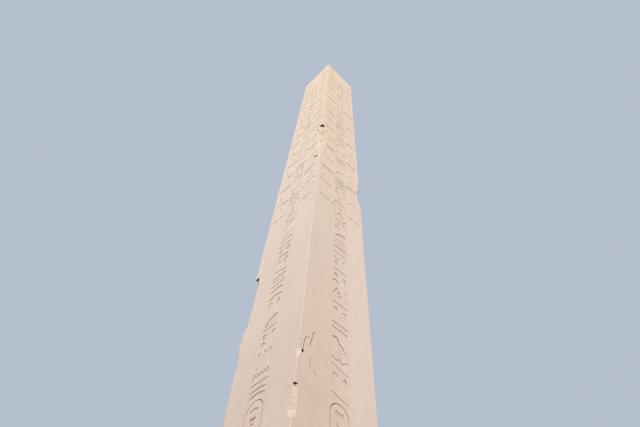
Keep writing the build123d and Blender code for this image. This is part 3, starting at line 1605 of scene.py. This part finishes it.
@dataclass
class Monolith:
    """Shaft and pyramid tip as one closed mesh, with every cut sunk into its faces.

    Points of a face that are closer than weld become one. rim_vertices holds the vertices that
    cuts add along the edges of the arrises, by the two rows that they lie between.
    """
    sizes: StoneSizes
    solid: SolidStone
    first_arris_seed: int = 100
    weld: float = 1e-7
    vertices: list[Vector] = field(default_factory=list)
    polygons: list[tuple[list[int], Surface]] = field(default_factory=list)
    rim_vertices: dict[tuple[int, int], list[int]] = field(default_factory=dict)

    def build(self) -> bpy.types.Object:
        """Make the stone, in place of its solid.

        Returns:
            The object.
        """
        sides = list(Side)
        arrises = [Arris(side, sides[(index + 1) % len(sides)], self.first_arris_seed + index, self.sizes,
                         self.solid, CARVINGS[side].fresh_top) for index, side in enumerate(sides)]
        grids = [self.add_arris(arris) for arris in arrises]
        for index, side in enumerate(sides):
            right = Edge(arrises[index].rows, [line[0] for line in grids[index]])
            left = Edge(arrises[index - 1].rows, [line[-1] for line in grids[index - 1]])
            self.add_face(side, right, left)
        self.close_ends(grids)
        mesh = bpy.data.meshes.new("carved_monolith")
        polygons = [self.with_rim(corners) for corners, _ in self.polygons]
        mesh.from_pydata([tuple(v) for v in self.vertices], [], polygons)
        mesh.update()
        piece = new_object("carved_monolith", mesh)
        self.dress(mesh)
        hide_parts("monolith")
        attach(piece, "root")
        return piece

    def dress(self, mesh: bpy.types.Mesh) -> None:
        """Give every polygon the finish of its surface.

        Args:
            mesh: The stone's mesh.
        """
        mesh.polygons.foreach_set("material_index", [surface.value for _, surface in self.polygons])
        for surface in Surface:
            mesh.materials.append(MONOLITH_FINISHES[surface].material(self.sizes))

    def add_vertex(self, point: Vector) -> int:
        """Add a vertex and give its number."""
        self.vertices.append(point)
        return len(self.vertices) - 1

    def add_arris(self, arris: Arris) -> list[list[int]]:
        """Add the worn strip between two faces.

        Args:
            arris: The arris to add.

        Returns:
            The vertex numbers of each row from foot to tip, from the first face to the second.
        """
        grid = []
        for row in arris.rows:
            grid.append([self.add_vertex(arris.inner_point(row, step / arris.strips))
                         for step in range(arris.strips + 1)])
        for index, (low, high) in enumerate(zip(grid, grid[1:])):
            row = max(arris.rows[index:index + 2], key=lambda one: one.broken)
            for step in range(arris.strips):
                corners = [low[step], low[step + 1], high[step + 1], high[step]]
                first, second, third = (self.vertices[number] for number in corners[:3])
                normal = (second - first).cross(third - first).normalized()
                self.polygons.append((corners, arris.surface(row, normal)))
        return grid

    def close_ends(self, grids: list[list[list[int]]]) -> None:
        """Close the flat foot and the blunt tip.

        Args:
            grids: Vertex numbers of the four arrises, in order round the stone.
        """
        foot = [number for grid in grids for number in grid[0]]
        tip = [number for grid in grids for number in grid[-1]]
        self.polygons.append((foot[::-1], Surface.DRESSED))
        self.polygons.append((tip, Surface.DRESSED))

    def face_cuts(self, side: Side) -> list[Cut]:
        """Everything that is sunk into one face.

        Args:
            side: The face.

        Returns:
            The cuts, with islands after the areas they stand in.
        """
        carving = CARVINGS[side]
        found = CarvedColumn(carving.seed, depth=carving.column_depth).cuts()
        found += SceneBands(carving.seed + 1, figure_depth=carving.figure_depth).cuts(self.sizes)
        found += CapScene().cuts(self.sizes)
        found += [scratch.cut() for scratch in SCRATCHES if scratch.side is side]
        return found + [scar.cut(number) for number, scar in enumerate(SCARS) if scar.side is side]

    def add_face(self, side: Side, right: Edge, left: Edge) -> None:
        """Triangulate one face round its cuts, with an edge across it at the neck, and add it.

        Args:
            side: The face.
            right: Where it meets the arris on its right.
            left: Where it meets the arris on its left.
        """
        half = self.sizes.half
        rim = [(half(row.height) - row.first_reach, row.height) for row in right.rows]
        rim += [(-half(row.height) + row.second_reach, row.height) for row in reversed(left.rows)]
        known = right.numbers + left.numbers[::-1]
        cuts = self.face_cuts(side)
        points = [Vector(p) for p in rim]
        moves = [Move()] * len(rim)
        neck = (self.neck_row(right.rows), len(rim) - 1 - self.neck_row(left.rows))
        edges = [neck]
        for cut in cuts:
            for ring, ring_moves in cut.rings():
                numbers = list(range(len(points), len(points) + len(ring)))
                edges += list(zip(numbers, numbers[1:] + numbers[:1]))
                points += ring
                moves += ring_moves
        flat = delaunay_2d_cdt(points, edges, [tuple(range(len(rim)))], ENCLOSED, self.weld)
        face = LiftedFace(self, side, flat, known, moves)
        face.add_floors(CutFinder(cuts))
        face.add_walls()

    def neck_row(self, rows: list[Row]) -> int:
        """Number of the row at the neck."""
        return min(range(len(rows)), key=lambda number: abs(rows[number].height - self.sizes.shaft_height))

    def with_rim(self, corners: list[int]) -> list[int]:
        """Give a polygon the vertices that cuts add along its edges.

        Args:
            corners: The polygon's vertex numbers.

        Returns:
            The same, with the added ones.
        """
        found: list[int] = []
        for corner, following in zip(corners, corners[1:] + corners[:1]):
            found += [corner, *self.rim_vertices.get((corner, following), ())]
        return found


@dataclass(frozen=True)
class Clouds:
    """A soft noise: its scale per metre, octaves and roughness, and the stretch along each axis.

    low and high are the values between which it does its work.
    """
    scale: float
    detail: float
    roughness: float
    low: float = 0.0
    high: float = 1.0
    stretch: tuple[float, float, float] | None = None


class Nodes:
    """A material's node tree, with short calls for the nodes that the finishes share.

    A colour ramp's new stop starts at NEW_STOP, before it gets its own place.
    """
    NEW_STOP = 0.5

    def __init__(self, name: str) -> None:
        """Start a material with only its shader and output.

        Args:
            name: The material's name.
        """
        self.material = bpy.data.materials.new(name)
        self.material.use_nodes = True
        self.tree = self.material.node_tree
        self.shader = self.tree.nodes["Principled BSDF"]
        self.place = self.add("ShaderNodeTexCoord").outputs["Object"]

    def add(self, kind: str) -> bpy.types.Node:
        """Add a node of a kind."""
        return self.tree.nodes.new(kind)

    def feed(self, socket: Socket, value: object) -> None:
        """Link a socket's value to it, or set a plain one.

        Args:
            socket: The input.
            value: An output socket, or a number, vector or colour.
        """
        if isinstance(value, Socket):
            self.tree.links.new(value, socket)
        else:
            socket.default_value = value

    def stretched(self, scale: tuple[float, float, float]) -> Socket:
        """The place in the frame, scaled along each axis.

        Args:
            scale: A factor for each axis.

        Returns:
            The scaled place.
        """
        node = self.add("ShaderNodeMapping")
        self.feed(node.inputs["Vector"], self.place)
        node.inputs["Scale"].default_value = scale
        return node.outputs["Vector"]

    def clouds(self, pattern: Clouds) -> Socket:
        """Soft noise.

        Args:
            pattern: Its settings.

        Returns:
            Its factor.
        """
        place = self.place if pattern.stretch is None else self.stretched(pattern.stretch)
        node = self.add("ShaderNodeTexNoise")
        self.feed(node.inputs["Vector"], place)
        node.inputs["Scale"].default_value = pattern.scale
        node.inputs["Detail"].default_value = pattern.detail
        node.inputs["Roughness"].default_value = pattern.roughness
        return node.outputs["Fac"]

    def crystals(self, scale: float) -> Socket:
        """A different grey for each grain of the stone.

        Args:
            scale: How many grains lie side by side in a metre.

        Returns:
            The grey, from zero to one.
        """
        cells = self.add("ShaderNodeTexVoronoi")
        self.feed(cells.inputs["Vector"], self.place)
        cells.inputs["Scale"].default_value = scale
        split = self.add("ShaderNodeSeparateColor")
        self.feed(split.inputs["Color"], cells.outputs["Color"])
        return split.outputs["Red"]

    def ramp(self, factor: Socket, stops: tuple[tuple[float, Colour], ...]) -> Socket:
        """Colours spread over a factor.

        Args:
            factor: What picks the colour.
            stops: Places from zero to one, and the colour at each.

        Returns:
            The colour.
        """
        node = self.add("ShaderNodeValToRGB")
        self.feed(node.inputs["Fac"], factor)
        elements = node.color_ramp.elements
        while len(elements) < len(stops):
            elements.new(self.NEW_STOP)
        for element, (position, colour) in zip(elements, stops):
            element.position = position
            element.color = (*colour, 1.0)
        return node.outputs["Color"]

    def span(self, factor: Socket, low: float, high: float, to_low: float = 0.0,
             to_high: float = 1.0) -> Socket:
        """A factor stretched from one range to another and kept inside it.

        Args:
            factor: The factor.
            low: Its value that becomes to_low.
            high: Its value that becomes to_high.
            to_low: New low value.
            to_high: New high value.

        Returns:
            The new factor.
        """
        node = self.add("ShaderNodeMapRange")
        self.feed(node.inputs["Value"], factor)
        limits = {"From Min": low, "From Max": high, "To Min": to_low, "To Max": to_high}
        for name, value in limits.items():
            node.inputs[name].default_value = value
        return node.outputs["Result"]

    def blend(self, factor: object, first: object, second: object, mode: str = "MIX") -> Socket:
        """Two colours mixed.

        Args:
            factor: How much of the second.
            first: The first colour.
            second: The second colour.
            mode: The blend mode.

        Returns:
            The mixed colour.
        """
        node = self.add("ShaderNodeMix")
        node.data_type = "RGBA"
        node.blend_type = mode
        self.feed(node.inputs["Factor"], factor)
        colours = [socket for socket in node.inputs if socket.type == "RGBA"]
        for socket, value in zip(colours, (first, second)):
            self.feed(socket, (*value, 1.0) if isinstance(value, tuple) else value)
        return next(socket for socket in node.outputs if socket.type == "RGBA")

    def maths(self, operation: str, first: object, second: object = 0.0) -> Socket:
        """One sum of two numbers.

        Args:
            operation: Which sum.
            first: The first number.
            second: The second number, where the sum takes one.

        Returns:
            The result.
        """
        node = self.add("ShaderNodeMath")
        node.operation = operation
        self.feed(node.inputs[0], first)
        self.feed(node.inputs[1], second)
        return node.outputs["Value"]

    def axes(self) -> tuple[Socket, ...]:
        """The place in the frame, axis by axis.

        Returns:
            X, Y and Z in metres.
        """
        split = self.add("ShaderNodeSeparateXYZ")
        self.feed(split.inputs["Vector"], self.place)
        return tuple(split.outputs[axis] for axis in "XYZ")

    def near(self, centre: Vector, radius: float) -> Socket:
        """One at a place, falling to zero at a radius from it.

        Args:
            centre: The place in the frame.
            radius: The radius in metres.

        Returns:
            The factor.
        """
        node = self.add("ShaderNodeVectorMath")
        node.operation = "DISTANCE"
        self.feed(node.inputs[0], self.place)
        node.inputs[1].default_value = centre
        return self.span(node.outputs["Value"], 0.0, radius, 1.0, 0.0)

    def bump(self, height: Socket, distance: float, strength: float,
             normal: Socket | None = None) -> Socket:
        """A bumped normal.

        Args:
            height: The height to bump by.
            distance: How far a height of one stands up, in metres.
            strength: How much of it shows.
            normal: A normal to add to, if any.

        Returns:
            The normal.
        """
        node = self.add("ShaderNodeBump")
        self.feed(node.inputs["Height"], height)
        node.inputs["Distance"].default_value = distance
        node.inputs["Strength"].default_value = strength
        if normal is not None:
            self.feed(node.inputs["Normal"], normal)
        return node.outputs["Normal"]


@dataclass(frozen=True)
class Stain:
    """A patch of grey growth or dirt on a face."""
    side: Side
    across: float
    height: float
    radius: float
    strength: float

    def cover(self, nodes: Nodes, sizes: StoneSizes, break_up: Socket) -> Socket:
        """How much of the stone the stain hides.

        Args:
            nodes: The material's nodes.
            sizes: The stone's sizes.
            break_up: Noise that makes it patchy.

        Returns:
            The factor.
        """
        patch = nodes.near(sizes.place(self.side, self.across, self.height), self.radius)
        return nodes.maths("MULTIPLY", nodes.maths("MULTIPLY", patch, break_up), self.strength)


@dataclass(frozen=True)
class FaceTint:
    """How weather changed the stone's colour on its way up, as shares of its plain colour.

    The stone bleaches towards its top. Its +X face is tanner along its near arris than beyond
    the carved column. Each ramp gives a colour for each of the heights.
    """
    heights: tuple[float, ...] = (6.8, 11.8, 18.8, 27.8)
    usual: tuple[Colour, ...] = (
        (0.93, 0.91, 0.89), (1.03, 1.04, 1.03), (1.12, 1.15, 1.09), (1.20, 1.17, 1.05))
    near: tuple[Colour, ...] = (
        (0.93, 0.86, 0.80), (0.99, 0.97, 0.93), (1.09, 1.07, 0.98), (1.12, 1.05, 0.91))
    far: tuple[Colour, ...] = (
        (1.00, 0.99, 0.95), (1.06, 1.05, 1.03), (1.10, 1.08, 1.02), (1.12, 1.09, 0.97))
    full_height: float = 32.0
    far_from: float = -0.2
    far_to: float = 0.45
    smooth_speckle: float = 0.3
    corner_blend: float = 0.03

    def scaled(self, shares: tuple[float, ...]) -> "FaceTint":
        """The same weather tint, times a share at each height, which paints light and shade on it.

        Args:
            shares: One share for each height.

        Returns:
            The new tint.
        """
        usual, near, far = (
            tuple(tuple(value * share for value in colour) for colour, share in zip(tints, shares))
            for tints in (self.usual, self.near, self.far))
        return replace(self, usual=usual, near=near, far=far)

    def coarse(self, nodes: Nodes) -> Socket:
        """How coarse the stone's skin is.

        Args:
            nodes: The material's nodes.

        Returns:
            One on the -Y face, which is the coarsest, and less on the others.
        """
        x, y, _ = nodes.axes()
        beyond = nodes.maths("ADD", nodes.maths("ABSOLUTE", x), y)
        return nodes.span(beyond, -self.corner_blend, self.corner_blend, 1.0, self.smooth_speckle)

    def apply(self, nodes: Nodes, base: Socket) -> Socket:
        """Tint a colour.

        Args:
            nodes: The material's nodes.
            base: The plain colour.

        Returns:
            The tinted colour.
        """
        x, y, z = nodes.axes()
        rise = nodes.span(z, 0.0, self.full_height)
        places = [height / self.full_height for height in self.heights]
        usual, near, far = (nodes.ramp(rise, tuple(zip(places, tints)))
                            for tints in (self.usual, self.near, self.far))
        beyond = nodes.maths("SUBTRACT", x, nodes.maths("ABSOLUTE", y))
        on_right = nodes.span(beyond, -self.corner_blend, self.corner_blend)
        right = nodes.blend(nodes.span(y, self.far_from, self.far_to), near, far)
        return nodes.blend(1.0, base, nodes.blend(on_right, usual, right), "MULTIPLY")


@dataclass(frozen=True)
class StoneFinish:
    """A dull stone: speckle, mottling, crystals, rain streaks, stains and a rough surface."""
    name: str
    pale: Colour
    warm: Colour
    dark: Colour
    crystal: Colour
    crystal_size: float = 0.008
    crystal_share: float = 0.16
    crystal_values: Pair = (0.78, 0.86)
    mottling: float = 0.22
    speckle_cool: Colour = (0.84, 0.865, 0.91)
    speckle_warm: Colour = (1.14, 1.11, 1.07)
    streaks: float = 0.1
    tint: FaceTint | None = None
    roughness: float = 0.88
    specular: float = 0.25
    bump_distance: float = 0.004
    bump_strength: float = 0.6
    wave_distance_share: float = 4.0
    wave_strength_share: float = 0.4
    stains: tuple[Stain, ...] = ()
    stain_colour: Colour = (0.36, 0.38, 0.33)
    stain_values: Pair = (0.35, 0.6)

    BROAD = Clouds(0.35, 5.0, 0.6, low=0.3, high=0.7)
    MOTTLE = Clouds(5.0, 6.0, 0.62, low=0.5, high=0.75)
    SPECKLE = Clouds(42.0, 3.0, 0.75, low=0.36, high=0.64)
    RAIN = Clouds(1.0, 4.0, 0.6, low=0.5, high=0.75, stretch=(9.0, 9.0, 0.35))
    GRAIN = Clouds(28.0, 8.0, 0.7)
    WAVES = Clouds(3.0, 3.0, 0.5)
    EVEN_SPECKLE = 0.5

    def material(self, sizes: StoneSizes) -> bpy.types.Material:
        """Build the node material.

        Args:
            sizes: The monolith's sizes, which place the stains.

        Returns:
            The material.
        """
        nodes = Nodes(self.name)
        broad = nodes.clouds(self.BROAD)
        mottle = nodes.clouds(self.MOTTLE)
        base = nodes.ramp(nodes.span(broad, self.BROAD.low, self.BROAD.high),
                          ((0.0, self.warm), (1.0, self.pale)))
        patches = nodes.span(mottle, self.MOTTLE.low, self.MOTTLE.high, 0.0, self.mottling)
        base = nodes.blend(patches, base, self.dark)
        fine = nodes.span(nodes.clouds(self.SPECKLE), self.SPECKLE.low, self.SPECKLE.high)
        speckle = nodes.blend(fine, self.speckle_cool, self.speckle_warm)
        speckled = nodes.blend(1.0, base, speckle, "MULTIPLY")
        base = nodes.blend(self.tint.coarse(nodes) if self.tint else self.EVEN_SPECKLE, base, speckled)
        rain = nodes.span(nodes.clouds(self.RAIN), self.RAIN.low, self.RAIN.high, 0.0, self.streaks)
        base = nodes.blend(rain, base, self.dark, "MULTIPLY")
        if self.tint is not None:
            base = self.tint.apply(nodes, base)
        break_up = nodes.span(mottle, *self.stain_values)
        for stain in self.stains:
            base = nodes.blend(stain.cover(nodes, sizes, break_up), base, self.stain_colour)
        grains = nodes.crystals(1 / self.crystal_size)
        crystals = nodes.span(grains, *self.crystal_values, 0.0, self.crystal_share)
        nodes.feed(nodes.shader.inputs["Base Color"], nodes.blend(crystals, base, self.crystal))
        nodes.shader.inputs["Roughness"].default_value = self.roughness
        nodes.shader.inputs["Specular IOR Level"].default_value = self.specular
        rough = nodes.bump(nodes.clouds(self.GRAIN), self.bump_distance, self.bump_strength)
        wavy = nodes.bump(nodes.clouds(self.WAVES), self.bump_distance * self.wave_distance_share,
                          self.bump_strength * self.wave_strength_share, rough)
        nodes.feed(nodes.shader.inputs["Normal"], wavy)
        return nodes.material


# Grey growth that shows on the right one of the two near faces
STAINS = (
    Stain(Side.RIGHT, -0.02, 19.1, radius=0.34, strength=0.5),
    Stain(Side.RIGHT, 0.0, 16.2, radius=0.34, strength=0.5),
    Stain(Side.RIGHT, 0.03, 14.5, radius=0.34, strength=0.5),
    Stain(Side.RIGHT, -0.66, 5.6, radius=0.42, strength=0.2),
)
WEATHER = FaceTint()
MONOLITH_FINISHES = {
    Surface.DRESSED: StoneFinish(
        "weathered_granite", pale=(0.72, 0.59, 0.51), warm=(0.70, 0.56, 0.47), dark=(0.56, 0.43, 0.36),
        crystal=(0.34, 0.26, 0.22), tint=WEATHER, stains=STAINS),
    Surface.CARVED: StoneFinish(
        "carved_granite", pale=(0.71, 0.58, 0.49), warm=(0.68, 0.54, 0.45), dark=(0.50, 0.38, 0.31),
        crystal=(0.32, 0.24, 0.20), tint=WEATHER, stains=STAINS),
    Surface.BROKEN: StoneFinish(
        "broken_granite", pale=(0.66, 0.56, 0.46), warm=(0.61, 0.50, 0.41), dark=(0.46, 0.40, 0.31),
        crystal=(0.30, 0.23, 0.19), tint=WEATHER, mottling=0.5, bump_distance=0.008),
    Surface.FRESH: StoneFinish(
        "fresh_granite", pale=(0.66, 0.54, 0.42), warm=(0.64, 0.51, 0.39), dark=(0.50, 0.39, 0.29),
        crystal=(0.40, 0.31, 0.24), mottling=0.3, bump_distance=0.006),
    # Near-black stone that paints the shade under lips, on facets that face down and in pits
    Surface.SHELTERED: StoneFinish(
        "painted_shade_granite", pale=(0.045, 0.024, 0.012), warm=(0.032, 0.017, 0.009),
        dark=(0.014, 0.008, 0.005), crystal=(0.014, 0.008, 0.005), mottling=0.6),
    # Worn arrises: their own greyer colour, dimmed to offset the light that the rounding catches, then
    # paler up to about 12 m as a painted highlight along the arris and darker from about 19 m up as
    # painted shade
    Surface.WORN: StoneFinish(
        "worn_granite_with_painted_light", pale=(0.64, 0.535, 0.465), warm=(0.62, 0.505, 0.435), dark=(0.54, 0.42, 0.35),
        crystal=(0.34, 0.26, 0.22), tint=WEATHER.scaled((1.12, 1.12, 0.94, 0.94)), stains=STAINS),
    # Dark brown dirt in grooves, made darker still as painted shade
    Surface.SOILED: StoneFinish(
        "dirt_and_painted_shade_granite", pale=(0.15, 0.105, 0.075), warm=(0.12, 0.08, 0.055), dark=(0.07, 0.05, 0.035),
        crystal=(0.07, 0.05, 0.035), mottling=0.5),
}
PEDESTAL_FINISH = StoneFinish(
    "pedestal_granite", pale=(0.62, 0.48, 0.39), warm=(0.57, 0.42, 0.33), dark=(0.40, 0.30, 0.24),
    crystal=(0.22, 0.18, 0.16), mottling=0.5, streaks=0.3, bump_distance=0.010)
FOOTING_FINISH = StoneFinish(
    "footing_sandstone", pale=(0.66, 0.56, 0.42), warm=(0.60, 0.49, 0.35), dark=(0.44, 0.35, 0.26),
    crystal=(0.40, 0.32, 0.24), crystal_share=0.05, mottling=0.5, streaks=0.3, bump_distance=0.008)


@dataclass
class WornStones:
    """Squared stones whose edges have rounded and whose faces have roughened with age.

    Each takes the shape of its solid, is divided into cells and pressed in by up to about
    deepest. Its underside, where level is the least upright share of a normal, stays flat.
    """
    family: str
    slot: str
    finish: StoneFinish
    cell: float = 0.03
    deepest: float = 0.016
    dents_per_metre: float = 2.2
    dent_roughness: float = 0.9
    dent_lacunarity: float = 2.0
    dent_octaves: int = 4
    level: float = 0.9

    def build(self, sizes: StoneSizes) -> list[bpy.types.Object]:
        """Make every stone of the family.

        Args:
            sizes: The monolith's sizes, which the finish asks for.

        Returns:
            The objects, each in place of its solid.
        """
        paint = self.finish.material(sizes)
        return [self.stone(node, paint) for node in sorted(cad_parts) if node.startswith(self.family)]

    def stone(self, node: str, paint: bpy.types.Material) -> bpy.types.Object:
        """Make one worn stone.

        Args:
            node: The solid that it stands for.
            paint: Its material.

        Returns:
            The object.
        """
        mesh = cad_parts[node].data.copy()
        mesh.materials.clear()
        piece = new_object(f"{node}_worn", mesh)
        remesh = piece.modifiers.new("cells", "REMESH")
        remesh.mode = "VOXEL"
        remesh.voxel_size = self.cell
        depsgraph = bpy.context.evaluated_depsgraph_get()
        dense = bpy.data.meshes.new_from_object(piece.evaluated_get(depsgraph))
        piece.modifiers.clear()
        piece.data = dense
        bpy.data.meshes.remove(mesh)
        self.roughen(dense, *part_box(node))
        dense.materials.append(paint)
        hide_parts(node)
        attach(piece, "root")
        return piece

    def roughen(self, mesh: bpy.types.Mesh, low: Vector, high: Vector) -> None:
        """Press the surface in unevenly, and keep it inside the solid's box.

        Args:
            mesh: The dense mesh.
            low: The box's lowest corner.
            high: The box's highest corner.
        """
        middle = (low + high) / 2
        for vertex, normal in zip(mesh.vertices, [v.normal.copy() for v in mesh.vertices]):
            place = vertex.co
            value = noise.fractal(place * self.dents_per_metre, self.dent_roughness, self.dent_lacunarity,
                                  self.dent_octaves)
            dent = abs(value) * self.deepest
            if abs(normal.z) < self.level or place.z > middle.z:
                place = place - normal * dent
            vertex.co = [min(max(value, least), most) for value, least, most in zip(place, low, high)]


@dataclass
class Pedestal(WornStones):
    """The block under the shaft."""
    family: str = "pedestal"
    slot: str = "pedestal_granite"
    finish: StoneFinish = PEDESTAL_FINISH


@dataclass
class Footing(WornStones):
    """The ring of stones round the pedestal's foot, and the ones under it."""
    family: str = "footing"
    slot: str = "sandstone"
    finish: StoneFinish = FOOTING_FINISH


def direction(azimuth: float, elevation: float) -> Vector:
    """Unit vector that way.

    Args:
        azimuth: Angle from +X in the level, in radians.
        elevation: Angle up from the level, in radians.

    Returns:
        The vector.
    """
    level = math.cos(elevation)
    return Vector((level * math.cos(azimuth), level * math.sin(azimuth), math.sin(elevation)))


@dataclass(frozen=True)
class Studio:
    """Plain pale floor and backdrop, a soft high key light behind the camera, and the camera.

    The camera's place and turns were fitted to the photograph: they are metres from the middle of
    the shaft's foot, and radians. The focal length is in pixels of its 640 pixel wide frame, and
    the sensor in millimetres. The key light's angles are degrees.
    """
    camera_x: float = 6.800
    camera_y: float = -5.787
    camera_over_foot: float = 0.019
    yaw: float = 2.42589
    pitch: float = 0.9937
    roll: float = 0.08061
    focal_pixels: float = 490.12
    frame_pixels: float = 640.0
    sensor: float = 36.0
    sun_azimuth: float = -46.0
    sun_elevation: float = 56.0
    sun_strength: float = 3.9
    sun_softness: float = 2.0
    sun_colour: Colour = (1.0, 0.96, 0.9)
    backdrop: Colour = (0.46, 0.52, 0.62)
    backdrop_strength: float = 1.0
    sight: float = 1000.0
    floor_radius: float = 900.0
    floor_sides: int = 96
    floor_pale: Colour = (0.45, 0.44, 0.42)
    floor_dark: Colour = (0.42, 0.41, 0.39)
    floor_clouds: Clouds = Clouds(0.2, 2.0, 0.55, low=0.3, high=0.7)
    floor_roughness: float = 0.9

    def build(self, foot: float) -> None:
        """Add floor, backdrop, light and camera.

        Args:
            foot: Height of the shaft's foot in the frame.
        """
        self.add_floor()
        self.add_backdrop()
        self.add_sun()
        self.add_camera(foot)

    def add_floor(self) -> None:
        """A pale round floor, so wide that its far edge is a level horizon."""
        rim = ellipse((0, 0), (self.floor_radius, self.floor_radius), self.floor_sides)
        mesh = bpy.data.meshes.new("floor")
        mesh.from_pydata([(x, y, 0) for x, y in rim], [], [tuple(range(len(rim)))])
        floor = new_object("floor", mesh)
        paint = Nodes("floor_paint")
        clouds = self.floor_clouds
        stops = ((clouds.low, self.floor_dark), (clouds.high, self.floor_pale))
        paint.feed(paint.shader.inputs["Base Color"], paint.ramp(paint.clouds(clouds), stops))
        paint.shader.inputs["Roughness"].default_value = self.floor_roughness
        mesh.materials.append(paint.material)

    def add_backdrop(self) -> None:
        """An even pale light from all round."""
        world = bpy.data.worlds.new("studio")
        world.use_nodes = True
        background = world.node_tree.nodes["Background"]
        background.inputs["Color"].default_value = (*self.backdrop, 1.0)
        background.inputs["Strength"].default_value = self.backdrop_strength
        bpy.context.scene.world = world

    def add_sun(self) -> None:
        """The key light, high behind the camera."""
        light = bpy.data.lights.new("key", "SUN")
        light.energy = self.sun_strength
        light.angle = math.radians(self.sun_softness)
        light.color = self.sun_colour
        key = new_object("key", light)
        toward = direction(math.radians(self.sun_azimuth), math.radians(self.sun_elevation))
        key.rotation_euler = toward.to_track_quat("Z", "Y").to_euler()

    def add_camera(self, foot: float) -> None:
        """The photograph's viewpoint.

        Args:
            foot: Height of the shaft's foot in the frame.
        """
        data = bpy.data.cameras.new("camera")
        data.sensor_width = self.sensor
        data.lens = self.focal_pixels / self.frame_pixels * self.sensor
        data.clip_end = self.sight
        camera = new_object("camera", data)
        forward = direction(self.yaw, self.pitch)
        level = Vector((math.sin(self.yaw), -math.cos(self.yaw), 0))
        upright = level.cross(forward)
        right = math.cos(self.roll) * level + math.sin(self.roll) * upright
        up = -math.sin(self.roll) * level + math.cos(self.roll) * upright
        turn = Matrix((right, up, -forward)).transposed().to_4x4()
        place = Vector((self.camera_x, self.camera_y, foot + self.camera_over_foot))
        camera.matrix_world = Matrix.Translation(place) @ turn
        bpy.context.scene.camera = camera


def main() -> None:
    """Build every piece in order, then the studio, and log each piece's count of faces."""
    logging.basicConfig(level=logging.INFO, format="%(name)s: %(message)s")
    solid = SolidStone()
    sizes = solid.sizes()
    pieces = [Monolith(sizes, solid).build()]
    for family in (Pedestal(), Footing()):
        pieces += family.build(sizes)
    for piece in pieces:
        LOG.info("%s: %d faces", piece.name, len(piece.data.polygons))
    Studio().build(sizes.base)
    bpy.context.scene.view_settings.view_transform = "Standard"


if __name__ == "__main__":
    main()
